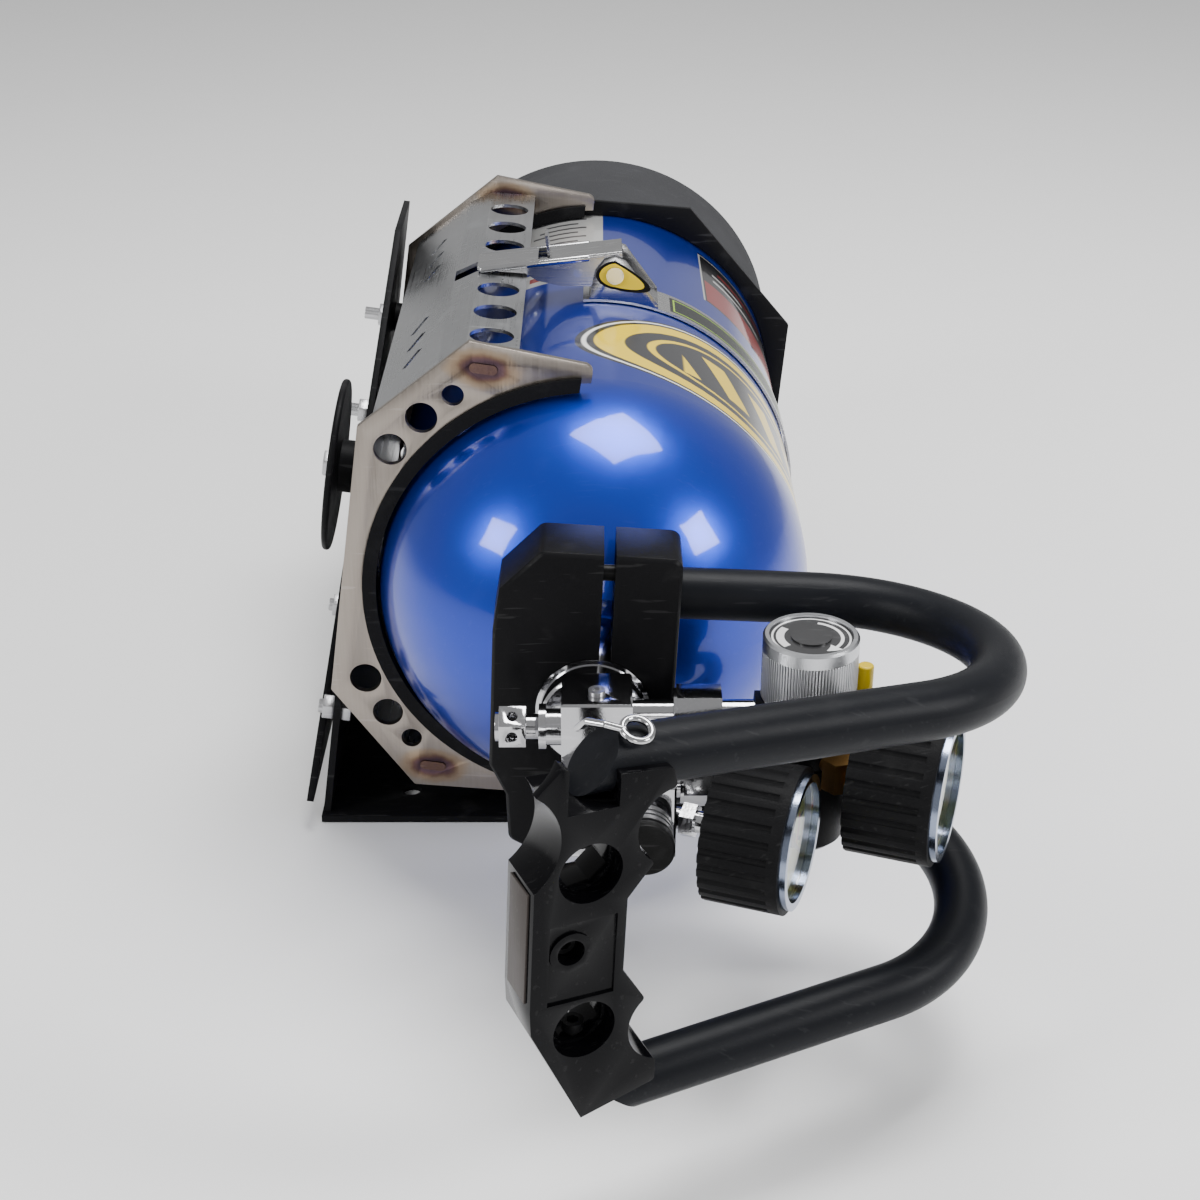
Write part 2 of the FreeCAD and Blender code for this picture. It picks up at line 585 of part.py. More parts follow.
def disc_plate():
    """Round plate outside the sheet, on its own hollow boss."""
    centre = Vector(-SHEET_SIDE_X, DISC_AT[0], DISC_AT[1])
    boss_l = DISC_X - SHEET_SIDE_X
    disc = cyl(centre - X * boss_l, -X, DISC_R, DISC_T)
    disc = chamfered(disc, 0.8, lambda e: e.Length > 6 * DISC_R)
    boss = cyl(centre, -X, 11.0, boss_l)
    hole = cyl(centre + X, -X, 3.0, boss_l + DISC_T + 2)
    return rolled(disc.fuse(boss).cut(hole), CRADLE_ROLL)


def rear_ring_plate():
    """Octagonal plate behind the rear end plate that closes round the right side."""
    corners = []
    for i in range(9):
        a = math.radians(17.7 + 45 * i)
        corners.append((RING_CORNER_R * math.cos(a), RING_CORNER_R * math.sin(a)))
    plate = prism_y(corners[:8], CRADLE_SPAN, CRADLE_SPAN + RING_T)
    bore_r = TANK_R + TRIM_CLEARANCE
    plate = plate.cut(cyl(Vector(0, CRADLE_SPAN - 1, 0), Y, bore_r, RING_T + 2))
    keep = box(-30, 200, CRADLE_SPAN - 1, CRADLE_SPAN + RING_T + 1, -200, 200)
    return plate.common(rolled(keep, CRADLE_ROLL))


def tray_isolator(y):
    """Rubber block between the tray and the sheet's lower facet."""
    x = -66.0
    post = cyl(Vector(x, y, -TRAY_DROP + TRAY_T), Z, 10.0, 60)
    below = offset_inward(mirror_points(SHEET_LINE), 0.0)[4:]
    above = [(-20, 50), (-150, 50), (-150, below[0][1])] + below + [(-20, below[-1][1])]
    return post.cut(rolled(prism_y(above, 0, TRAY_LENGTH), CRADLE_ROLL))


# ---------------------------------------------------------------- handle
def hoop_points(side):
    """Corner data of one hoop: bend start, bend end, front leg direction."""
    splay = math.radians(HOOP_SPLAY)
    turn = math.radians(HOOP_TURN)
    inward = Vector(0, -math.cos(splay), side * math.sin(splay))
    start = Vector(HOOP_BEND_X, HOOP_Y, side * HOOP_HALF)
    centre = start + inward * HOOP_BEND_R
    middle = centre + (X * math.sin(turn / 2) - inward * math.cos(turn / 2)) * HOOP_BEND_R
    end = centre + (X * math.sin(turn) - inward * math.cos(turn)) * HOOP_BEND_R
    away = X * math.cos(turn) + inward * math.sin(turn)
    return start, middle, end, away


def hoop_path(side, front_length):
    start, middle, end, away = hoop_points(side)
    root = Vector(BLOCK_RIGHT_X - HOOP_SOCKET, HOOP_Y, side * HOOP_HALF)
    return Part.Wire([Part.makeLine(root, start), Part.Arc(start, middle, end).toShape(),
                      Part.makeLine(end, end + away * front_length)])


def hoop_sweep(side, radius, front_length):
    path = hoop_path(side, front_length)
    root = Vector(BLOCK_RIGHT_X - HOOP_SOCKET, HOOP_Y, side * HOOP_HALF)
    profile = Part.Wire(Part.makeCircle(radius, root, X))
    return path.makePipeShell([profile], True, False)


def mitre_box(side):
    """Large block that trims a front leg's end on a slant."""
    _, _, end, away = hoop_points(side)
    tip = end + away * (GRIP_FROM_BEND + (3.0 if side > 0 else -8.0))
    slant = away * 0.82 + Z * 0.57 if side > 0 else away * 0.66 - Z * 0.75
    cutter = Part.makeBox(60, 60, 60, Vector(-30, -30, 0))
    cutter.Placement = Placement(tip, Rotation(Z, slant))
    return cutter


def hoop_tube(side):
    outer = hoop_sweep(side, HOOP_TUBE_R, GRIP_FROM_BEND + 26)
    inner = hoop_sweep(side, HOOP_TUBE_R - HOOP_TUBE_WALL, GRIP_FROM_BEND - 24)
    tube = outer.cut(inner).cut(mitre_box(side))
    return rolled(tube, HANDLE_ROLL)


def grip_placement():
    """Grip frame: x away from the valve along the front legs, y to the rear, z up."""
    _, _, end, away = hoop_points(1)
    centre = end + away * GRIP_FROM_BEND
    level = Vector(-away.x, -away.y, 0).normalize()
    return Placement(Vector(centre.x, centre.y, 0), Rotation(X, level))


def arc3(a, b, c, y):
    return Part.Arc(Vector(a[0], y, a[1]), Vector(b[0], y, b[1]), Vector(c[0], y, c[1])).toShape()


def line2(a, b, y):
    return Part.makeLine(Vector(a[0], y, a[1]), Vector(b[0], y, b[1]))


def grip_z(z):
    """Height in the grip: its two ends move with the hoops and its waist stays."""
    shift = HOOP_HALF - GRIP_DRAWN_FOR
    return z + (shift if z > 28 else -shift if z < -15 else 0.0)


GRIP_HOLES = ((-7.6, grip_z(32.0), 10.3), (-7.2, grip_z(-25.5), 10.3))
GRIP_PILOT = (-12.8, 4.8, 4.4)


def grip_block():
    """Machined block: scalloped right edge, two octagonal through pockets."""
    y0 = -GRIP_FRONT
    corners = {
        "top_right": (17.4, 63.0), "upper_bump": (19.4, 56.0), "upper_dip": (7.3, 44.5),
        "mid_bump": (13.4, 31.0), "waist_top": (5.0, 20.0), "waist_low": (5.0, -6.5),
        "low_bump": (13.2, -19.5), "low_dip": (8.0, -31.0), "foot_bump": (18.2, -44.5),
        "foot": (18.4, -53.0), "toe": (-6.8, -60.5), "heel": (-25.0, -23.0),
        "side_low": (-25.6, -14.0), "side_top": (-25.6, 29.0), "left_dip": (-17.6, 46.0),
        "left_horn": (-26.0, 62.0), "crown": (-18.1, 70.0), "top_left": (-6.2, 65.0)}
    c = {name: (x, grip_z(z)) for name, (x, z) in corners.items()}
    edges = [
        line2(c["top_left"], c["top_right"], y0), line2(c["top_right"], c["upper_bump"], y0),
        arc3(c["upper_bump"], c["upper_dip"], c["mid_bump"], y0),
        line2(c["mid_bump"], c["waist_top"], y0), line2(c["waist_top"], c["waist_low"], y0),
        line2(c["waist_low"], c["low_bump"], y0),
        arc3(c["low_bump"], c["low_dip"], c["foot_bump"], y0),
        line2(c["foot_bump"], c["foot"], y0), line2(c["foot"], c["toe"], y0),
        line2(c["toe"], c["heel"], y0), line2(c["heel"], c["side_low"], y0),
        line2(c["side_low"], c["side_top"], y0),
        arc3(c["side_top"], c["left_dip"], c["left_horn"], y0),
        line2(c["left_horn"], c["crown"], y0), line2(c["crown"], c["top_left"], y0)]
    block = outline_y(edges, GRIP_FRONT + GRIP_REAR)
    block = rounded(block, 1.6, lambda e: along_y(e) and e.CenterOfMass.x > 12.9)
    for x, z, radius in GRIP_HOLES:
        block = block.cut(cyl(Vector(x, y0 - 1, z), Y, radius, 8.0))
        block = block.cut(polygon_bar(Vector(x, y0 - 1, z), Y, 2 * radius - 2.6, 40, 8, 22.5))
    x, z, radius = GRIP_PILOT
    block = block.cut(cyl(Vector(x, y0 - 1, z), Y, radius, 9.0))
    block = block.cut(cyl(Vector(x, y0 - 1, z), Y, 2.1, 40.0))
    block = block.cut(box(-20, 2.0, y0 - 1, y0 + 1.2, -13.5, 15.5)
                      .cut(cyl(Vector(x, y0 - 1, z), Y, radius + 2.5, 3)))
    block = block.cut(box(-16.0, 0.5, y0 - 1, 0, grip_z(53.5), grip_z(90)))
    block.Placement = grip_placement()
    for side in (1, -1):
        block = block.cut(hoop_sweep(side, HOOP_TUBE_R + 0.03, GRIP_FROM_BEND + 26))
    block = rolled(max(block.Solids, key=lambda s: s.Volume), HANDLE_ROLL)
    for screw in grip_screws():
        block = block.cut(screw)
    return max(block.Solids, key=lambda s: s.Volume)


def grip_screws():
    """Cap screws that pull each tube into its saddle, heads in the through pockets."""
    pieces = []
    for (x, z, radius), side in zip(GRIP_HOLES, (1, -1)):
        seat = Vector(x + 1.0, -2.0, z + side * (radius - 3.2))
        axis = Vector(0, 0, -side)
        pieces.append(socket_screw(seat, axis, 2.0, 13.0, 3.5, 3.0))
    x, z, radius = GRIP_PILOT
    pieces.append(socket_screw(Vector(x, -GRIP_FRONT + 8.0, z), -Y, 2.1, 9.0, 3.4, 3.4))
    for piece in pieces:
        piece.Placement = grip_placement().multiply(piece.Placement)
    return [rolled(p, HANDLE_ROLL) for p in pieces]


def grip_side_plate():
    """Thin blank plate on the grip's left side."""
    plate = box(-26.4, -25.6, -GRIP_FRONT + 3, GRIP_REAR - 3.5, -12.5, 27.0)
    plate.Placement = grip_placement()
    return rolled(plate, HANDLE_ROLL)


def tether_clip():
    """Bent wire eye for a lanyard, its foot on the back of the upper tube's end."""
    points = [Vector(5.2, -3.6, grip_z(73.2)), Vector(0, -1, grip_z(74.6)),
              Vector(-3.5, 3.6, grip_z(73.8)), Vector(-4.5, 7.4, grip_z(69.6))]
    wire = Part.makeTorus(4.4, 1.15, Vector(9.0, -4.2, grip_z(72.8)), Vector(0.05, -0.35, 1))
    for a, b in zip(points, points[1:]):
        wire = wire.fuse(cyl(a, (b - a).normalize(), 1.2, (b - a).Length))
        wire = wire.fuse(Part.makeSphere(1.2, b))
    wire.Placement = grip_placement()
    wire = wire.cut(hoop_sweep(1, HOOP_TUBE_R + 0.02, GRIP_FROM_BEND + 26))
    wire = max(wire.Solids, key=lambda s: s.Volume)
    return rolled(wire, HANDLE_ROLL)


def neck_clamp_block():
    """Split clamp block with sockets for the rear legs of both hoops."""
    y1 = BLOCK_FRONT_Y + BLOCK_DEPTH
    t, r, left = BLOCK_TOP_Z, BLOCK_RIGHT_X, BLOCK_LEFT_X
    outline = [(r, t - 1), (-21.0, t), (left + 2.0, HOOP_HALF + 7.0), (left, 30.0), (left, -26.0),
               (left + 6.5, -39.0), (left + 8.0, -t + 4), (-20.0, -t - 1), (r, -t)]
    block = prism_y(outline, BLOCK_FRONT_Y, y1)
    block = rounded(block, 4.0, lambda e: along_y(e) and abs(e.CenterOfMass.z) > 55)
    block = chamfered(block, 1.2, lambda e: abs(e.CenterOfMass.y - BLOCK_FRONT_Y) < 0.01)
    block = block.cut(cyl(Vector(0, BLOCK_FRONT_Y - 1, 0), Y, BLOCK_BORE_R, BLOCK_DEPTH + 2))
    block = block.cut(box(SLIT_X - SLIT_W / 2, SLIT_X + SLIT_W / 2, BLOCK_FRONT_Y - 1, y1 + 1,
                          0, t + 5))
    for side in (1, -1):
        socket = Vector(r - HOOP_SOCKET, HOOP_Y, side * HOOP_HALF)
        block = block.cut(cyl(socket, X, HOOP_TUBE_R, HOOP_SOCKET + 5))
    screw_at = Vector(r + 1, -84.0, CLAMP_SCREW_Z)
    block = block.cut(cyl(screw_at, -X, 3.0, 48.0)).cut(cyl(screw_at, -X, 5.0, 8.0))
    block = rolled(block, HANDLE_ROLL)
    for screw in hoop_set_screws():
        block = block.cut(screw)
    return max(block.Solids, key=lambda s: s.Volume)


def neck_clamp_screw():
    seat = Vector(BLOCK_RIGHT_X - 7, -84.0, CLAMP_SCREW_Z)
    return rolled(socket_screw(seat, X, 3.0, 40.0, 4.9, 5.0), HANDLE_ROLL)


def hoop_set_screws():
    pieces = []
    for side in (1, -1):
        seat = Vector(BLOCK_RIGHT_X - 7, BLOCK_FRONT_Y + 0.2, side * HOOP_HALF)
        pieces.append(cyl(seat, Y, 2.5, 6.5)
                      .cut(polygon_bar(seat - Y * 0.1, Y, 2.5, 3)))
    return [rolled(p, HANDLE_ROLL) for p in pieces]


# ---------------------------------------------------------------- valve and regulator
def valve_body():
    """Spigot, clamped collar, round face and the two-level manifold in front."""
    spigot = cyl(Vector(0, NECK_FACE_Y, 0), Y, VALVE_SPIGOT_R, 17.0)
    collar_back = BLOCK_FRONT_Y + BLOCK_DEPTH
    collar = cyl(Vector(0, BLOCK_FRONT_Y - 1, 0), Y, BLOCK_BORE_R - 0.03,
                 collar_back - BLOCK_FRONT_Y + 1)
    collar = collar.fuse(cyl(Vector(0, collar_back, 0), Y, VALVE_SPIGOT_R,
                             NECK_FACE_Y - collar_back))
    face = cyl(Vector(0, BLOCK_FRONT_Y - 9, 0), Y, DISC_FACE_R, 8.0)
    face = chamfered(face, 1.0, lambda e: abs(e.CenterOfMass.y - BLOCK_FRONT_Y + 9) < 0.01)
    upper = box(-11, 14, MANIFOLD_FRONT_Y, BLOCK_FRONT_Y - 9, -8, 20)
    lower = box(-11, 29, LOWER_FRONT_Y, BLOCK_FRONT_Y - 9, -30, -1)
    body = collar.fuse(spigot).fuse(face).fuse(upper).fuse(lower).removeSplitter()
    body = chamfered(body, 0.8, lambda e: e.Length > 12
                     and e.CenterOfMass.y < BLOCK_FRONT_Y - 9.5 and len(e.Vertexes) == 2
                     and (abs(e.CenterOfMass.z - 20) < 0.1
                          or abs(e.CenterOfMass.y - LOWER_FRONT_Y) < 0.1))
    body = body.cut(cyl(Vector(0, MANIFOLD_FRONT_Y + 8, 0), Y, 4.0, 80))
    body = body.cut(cyl(Vector(0, LINE_Y, SUPPLY_Z), X, 5.0, 30))
    body = body.cut(cyl(Vector(8, LINE_Y, RETURN_Z), X, 5.0, 30))
    body = body.cut(cyl(Vector(COUPLER_X, LOWER_FRONT_Y - 1, COUPLER_Z), Y, COUPLER_R, 9.0))
    body = body.cut(cyl(Vector(-12, RELIEF_Y, 6.5), X, 5.0, 11.0))
    body = body.cut(cyl(Vector(1.5, RELIEF_Y, 21.0), -Z, 1.8, 8.0))
    stem = gauge_stem_point()
    return body.cut(cyl(stem, tank_gauge_axis(), 4.0, 30))


def tank_gauge_axis():
    a = math.radians(GAUGE_YAW)
    return Vector(math.cos(a), -math.sin(a), 0)


def gauge_stem_point():
    """Inner end of the tank gauge's stem, a short way inside the lower manifold."""
    axis = tank_gauge_axis()
    back = TANK_GAUGE_FACE - axis * TANK_GAUGE_DEPTH
    return back - axis * ((back.x - 29.0) / axis.x + STEM_SOCKET)


def relief_plug():
    at = Vector(-33.0, RELIEF_Y, 6.5)
    head = polygon_bar(at, X, 14.5, 9.5, 6, 0).fuse(cyl(at - X * 1.5, X, 5.2, 1.5))
    plug = head.fuse(cyl(at + X * 9.5, X, 4.6, 4.5)).fuse(cyl(at + X * 14, X, 3.0, 14.0))
    for turn in range(6):
        hole = cyl(at + X * 4.7, Rotation(X, 60 * turn + 30).multVec(Z), 1.9, 10)
        plug = plug.cut(hole)
    return plug.cut(cyl(at + X * 2, X, 2.2, 40))


def relief_collar():
    at = Vector(-19.0, RELIEF_Y, 6.5)
    body = cyl(at, X, 6.6, 8.0).fuse(cyl(at + X * 8, X, 4.98, 10))
    flange = cyl(at, X, 8.2, 2.6)
    return body.fuse(flange).cut(cyl(at - X, X, 3.0, 30))


def line_nipple(z, x0, x1, radius):
    tube = cyl(Vector(x0, LINE_Y, z), X, radius, x1 - x0)
    return tube.cut(cyl(Vector(x0 - 1, LINE_Y, z), X, 2.5, x1 - x0 + 2))


def coupling_nut(z, x0, x1, across, hole):
    nut = polygon_bar(Vector(x0, LINE_Y, z), X, across, x1 - x0, 6, 30)
    rim = ring(Vector(x0 - 1.2, LINE_Y, z), X, across / 2, hole, 1.2)
    return nut.fuse(rim).cut(cyl(Vector(x0 - 3, LINE_Y, z), X, hole, x1 - x0 + 6))


def regulator_body():
    """Upright body and bonnet with bores for the spring, the spindle and the lines."""
    base = Vector(REGULATOR_X, LINE_Y, REGULATOR_BOTTOM)
    body = cyl(base, Z, REGULATOR_R, REGULATOR_TOP - REGULATOR_BOTTOM)
    body = chamfered(body, 2.5, lambda e: e.CenterOfMass.z < REGULATOR_BOTTOM + 0.1
                     and e.Length > REGULATOR_R)
    groove = ring(base + Z * 34, Z, REGULATOR_R + 1, REGULATOR_R - 1.2, 1.6)
    body = body.cut(groove)
    body = body.cut(cyl(Vector(REGULATOR_X, LINE_Y, -14), Z, 9.0, 21))
    body = body.cut(cyl(Vector(REGULATOR_X, LINE_Y, -30), Z, 3.0, 20))
    body = body.cut(cyl(Vector(REGULATOR_X, LINE_Y, 0), Z, SPINDLE_R + PIN_CLEARANCE, 20))
    for z in (SUPPLY_Z - 9.0, RETURN_Z):
        body = body.cut(cyl(Vector(REGULATOR_X, LINE_Y, z), -X, 2.5, 14))
    for z in (SUPPLY_Z, RETURN_Z):
        boss = polygon_bar(Vector(REGULATOR_X - REGULATOR_R - 4.0, LINE_Y, z), X, 14, 9, 6, 30)
        body = body.fuse(boss.cut(cyl(Vector(REGULATOR_X, LINE_Y, -14), Z, 9.0, 21)))
        body = body.cut(cyl(Vector(REGULATOR_X - REGULATOR_R - 5, LINE_Y, z), X, 5.0, 5.0))
    port = elbow_axis()
    centre = Vector(REGULATOR_X, LINE_Y, LINE_GAUGE_FACE.z)
    body = body.cut(cyl(centre + port * (REGULATOR_R - 4), port, 3.5, 10))
    arm = cap_place() - Vector(REGULATOR_X, LINE_Y, 0)
    arm_box = box(REGULATOR_R - 3, arm.Length, -3.5, 3.5, 1.0, 9.0)
    arm_box = arm_box.fuse(cyl(Vector(arm.Length, 0, 1.0), Z, 3.5, 8.0))
    arm_box.Placement = Placement(Vector(REGULATOR_X, LINE_Y, 0), Rotation(X, arm))
    body = body.fuse(arm_box)
    return body.cut(cyl(cap_place() + Z * 5.0, Z, 2.0, 10)).removeSplitter()


def elbow_axis():
    return Vector(0.45, -0.893, 0).normalize()


def cap_place():
    """Upright side port of the regulator, just clear of the knob."""
    return Vector(REGULATOR_X + KNOB_R + 3.6, LINE_Y + 5.0, 0)


def regulator_spring():
    """Range spring as a closed sleeve of its outer size."""
    return ring(Vector(REGULATOR_X, LINE_Y, -14), Z, 8.2, 6.0, 14)


def regulator_spindle():
    base = Vector(REGULATOR_X, LINE_Y, 2.0)
    height = REGULATOR_TOP + KNOB_GAP + 12.0 - 2.0
    return cyl(base, Z, SPINDLE_R, height).fuse(cyl(base - Z * 0.8, Z, 5.4, 2.0))


def regulator_knob():
    """Turned knob, hollow underneath, with a dished top."""
    base = Vector(REGULATOR_X, LINE_Y, REGULATOR_TOP + KNOB_GAP)
    knob = cyl(base, Z, KNOB_R, KNOB_H)
    knob = chamfered(knob, 0.8, lambda e: e.Length > 3 * KNOB_R)
    dish = cyl(base + Z * (KNOB_H - 2.2), Z, KNOB_R - 2.2, 5)
    skirt = cyl(base - Z, Z, KNOB_R - 2.6, 9.0)
    hub = cyl(base, Z, 6.5, 8.0)
    return knob.cut(dish).cut(skirt).fuse(hub).cut(cyl(base - Z, Z, SPINDLE_R, 13.0))


def knob_insert():
    """Flat indicator disc with a raised centre, let into the knob's dish."""
    base = Vector(REGULATOR_X, LINE_Y, REGULATOR_TOP + KNOB_GAP + KNOB_H - 2.2)
    disc = cyl(base, Z, KNOB_R - 2.25, 1.0)
    return disc.fuse(cyl(base, Z, 7.2, 1.7))


def port_cap():
    base = cap_place() + Z * 5.5
    cap = cyl(base, Z, 1.97, 4.0).fuse(cyl(base + Z * 3.5, Z, 2.9, 14.0))
    return rounded(cap, 0.8, lambda e: e.CenterOfMass.z > base.z + 17 and e.Length > 2.9)


def elbow_fitting():
    """Brass corner fitting between the regulator's port and the line gauge."""
    port = elbow_axis()
    centre = Vector(REGULATOR_X, LINE_Y, LINE_GAUGE_FACE.z)
    axis = tank_gauge_axis()
    back = LINE_GAUGE_FACE - axis * LINE_GAUGE_DEPTH
    start = centre + port * (REGULATOR_R - 4)
    corner = centre + port * (REGULATOR_R + 6.6)
    shank = cyl(start, port, 3.45, 10.6)
    hexed = polygon_bar(corner - Z * 6.0, Z, 10.5, 12.0, 6, 12)
    to_gauge = back - corner
    arm = cyl(corner, to_gauge.normalize(), 3.9, to_gauge.Length)
    nut = polygon_bar(back - axis * 3.4, axis, 12, 3.2, 6, 0)
    stem_bore = cyl(back - axis * 6, axis, 3.0, 12)
    return shank.fuse(hexed).fuse(arm).fuse(nut).cut(stem_bore)


# ---------------------------------------------------------------- gauges
def gauge_parts(face_centre, radius, depth):
    """Case, boot, bezel, lens, dial and needle of one back-entry pressure gauge."""
    axis = tank_gauge_axis()
    back = face_centre - axis * depth
    case_r = radius - GAUGE_BOOT_WALL
    case = cyl(back + axis * GAUGE_BOOT_WALL, axis, case_r, depth - GAUGE_BOOT_WALL - 4)
    hollow = cyl(back + axis * (GAUGE_BOOT_WALL + 1.5), axis, case_r - 1.5, depth)
    case = case.cut(hollow)
    boot = cyl(back, axis, radius, depth - 2.0)
    boot = boot.cut(cyl(back + axis * GAUGE_BOOT_WALL, axis, case_r, depth))
    ribs = 28
    side = axis.cross(Z).normalize()
    for i in range(ribs):
        a = 2 * math.pi * i / ribs
        out = Z * math.cos(a) + side * math.sin(a)
        cutter = cyl(back - axis + out * (radius + 0.55), axis, 1.5, depth - 5.0)
        boot = boot.cut(cutter)
    boot = boot.cut(cyl(back - axis, axis, 4.2, GAUGE_BOOT_WALL + 2))
    rim_at = face_centre - axis * 4.0
    bezel = ring(rim_at, axis, case_r, case_r - 1.9, 4.5)
    lip = ring(face_centre - axis * 2.0, axis, case_r + 0.9, case_r - 1.9, 2.5)
    bezel = bezel.fuse(lip).cut(cyl(rim_at - axis, axis, case_r - 1.0, 3.2)).removeSplitter()
    lens = cyl(rim_at + axis * 0.2, axis, case_r - 1.05, 1.9)
    dial = cyl(back + axis * (depth - 7.2), axis, case_r - 1.55, 1.0)
    hub_at = back + axis * (depth - 5.8)
    hub = cyl(hub_at, axis, 2.6, 1.4)
    low = -Z
    reach = Rotation(axis, 45).multVec(low)
    cross = axis.cross(reach)
    blade = Part.Face(Part.makePolygon([
        hub_at + axis * 0.3 + cross * 1.1 - reach * 6, hub_at + axis * 0.3 + cross * 0.5
        + reach * (case_r - 7), hub_at + axis * 0.3 - cross * 0.5 + reach * (case_r - 7),
        hub_at + axis * 0.3 - cross * 1.1 - reach * 6,
        hub_at + axis * 0.3 + cross * 1.1 - reach * 6])).extrude(axis * 0.6)
    return {"case": case, "boot": boot, "bezel": bezel, "lens": lens, "dial": dial,
            "needle": hub.fuse(blade)}


def gauge_stem():
    """Stem of the tank gauge, from its case into the manifold."""
    axis = tank_gauge_axis()
    start = gauge_stem_point()
    back = TANK_GAUGE_FACE - axis * TANK_GAUGE_DEPTH
    length = (back - start).Length + GAUGE_BOOT_WALL
    stem = cyl(start, axis, 3.95, length)
    nut_at = start + axis * (STEM_SOCKET + 2.8)
    return stem.fuse(polygon_bar(nut_at, axis, 11, 5.0, 6, 30))


# ---------------------------------------------------------------- outlet coupler
def coupler_body():
    start = Vector(COUPLER_X, LOWER_FRONT_Y + 8.0, COUPLER_Z)
    body = cyl(start, -Y, COUPLER_R - 0.03, 22.0)
    body = body.cut(ring(Vector(COUPLER_X, LOWER_FRONT_Y, COUPLER_Z), -Y, COUPLER_R + 1,
                         COUPLER_R - 1.0, 14.1))
    return body.cut(cyl(start + Y, -Y, 4.5, 40))


def coupler_sleeve():
    start = Vector(COUPLER_X, LOWER_FRONT_Y - SLEEVE_TRAVEL - 0.5, COUPLER_Z)
    sleeve = ring(start, -Y, SLEEVE_R, COUPLER_R - 1.0 + PIN_CLEARANCE, SLEEVE_L)
    for k in range(2):
        groove = ring(start - Y * (2.2 + 2.6 * k), -Y, SLEEVE_R + 1, SLEEVE_R - 0.7, 1.2)
        sleeve = sleeve.cut(groove)
    return sleeve


def dust_cap():
    start = Vector(COUPLER_X, LOWER_FRONT_Y - 14.0, COUPLER_Z)
    cap = cyl(start, -Y, CAP_R, 4.0)
    cap = rounded(cap, 1.2, lambda e: e.CenterOfMass.y < start.y - 3.9 and e.Length > CAP_R)
    return cap.fuse(cyl(start + Y * 6, -Y, 4.45, 7))


# ---------------------------------------------------------------- build
os.makedirs("parts", exist_ok=True)

export("cylinder_shell", make_cylinder())
export("base_boot", make_boot())
export("dip_tube", ring(Vector(0, NECK_FACE_Y + 17.0, 0), Y, 5.0, 3.5, 120.0))
export("neck_seal_ring", ring(Vector(0, NECK_FACE_Y - 0.9, 0), Y, 17.0, NECK_BORE_R, 0.9))

export("front_cradle_plate", cradle_plate(0.0))
export("rear_cradle_plate", cradle_plate(CRADLE_SPAN - PLATE_T))
export("weld_plugs", *weld_plugs())
export("rubber_trims", rubber_trim(0.0, (-TRIM_LIP_T, PLATE_T)),
       rubber_trim(CRADLE_SPAN - PLATE_T, (CRADLE_SPAN - PLATE_T - TRIM_LIP_T,)))
export("cradle_sheet", cradle_sheet())
export("clamp_band", band())
export("latch_base", latch_base())
export("latch_rivet", latch_rivet())
export("latch_lever", latch_lever())
export("draw_link", draw_link())
export("draw_link_pin", cyl(draw_pin_centre() - Y * (LEVER_W / 2), Y, DRAW_PIN_R, LEVER_W))

export("base_tray", base_tray())
export("back_plate", back_plate())
export("side_spacers", *side_spacers())
export("side_bolts", *side_bolts())
export("disc_plate", disc_plate())
export("rear_ring_plate", rear_ring_plate())
export("tray_isolators", tray_isolator(CRADLE_SPAN * 0.25),
       tray_isolator(CRADLE_SPAN * 0.8))

export("neck_clamp_block", neck_clamp_block())
export("neck_block_screws", neck_clamp_screw(), *hoop_set_screws())
export("upper_hoop_tube", hoop_tube(1))
export("lower_hoop_tube", hoop_tube(-1))
export("grip_block", grip_block())
export("grip_screws", *grip_screws())
export("grip_side_plate", grip_side_plate())
export("tether_clip", tether_clip())

export("valve_body", valve_body())
export("valve_boss_screw", socket_screw(Vector(1.5, RELIEF_Y, 20.0), Z, 1.79, 6.0, 3.0, 1.6))
export("relief_plug", relief_plug())
export("relief_collar", relief_collar())
export("line_nipples", line_nipple(SUPPLY_Z, 8.0, REGULATOR_X - REGULATOR_R - 0.5, 4.97),
       line_nipple(RETURN_Z, 12.0, REGULATOR_X - REGULATOR_R - 0.5, 4.97))
export("coupling_nuts", coupling_nut(SUPPLY_Z, 30.0, 46.0, 18.0, 4.98),
       coupling_nut(RETURN_Z, 33.0, 46.0, 14.0, 4.98))
export("regulator_body", regulator_body())
export("regulator_spring", regulator_spring())
export("regulator_spindle", regulator_spindle())
export("regulator_knob", regulator_knob())
export("knob_insert", knob_insert())
export("port_cap", port_cap())
export("elbow_fitting", elbow_fitting())
export("tank_gauge_stem", gauge_stem())
for prefix, face_at, radius, depth in (
        ("tank", TANK_GAUGE_FACE, TANK_GAUGE_R, TANK_GAUGE_DEPTH),
        ("line", LINE_GAUGE_FACE, LINE_GAUGE_R, LINE_GAUGE_DEPTH)):
    for part_name, solid in gauge_parts(face_at, radius, depth).items():
        export("%s_gauge_%s" % (prefix, part_name), solid)
export("coupler_body", coupler_body())
export("coupler_sleeve", coupler_sleeve())
export("dust_cap", dust_cap())

print("nodes", len(made))
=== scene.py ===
import json
import logging
import math
from dataclasses import dataclass, field
from enum import Enum

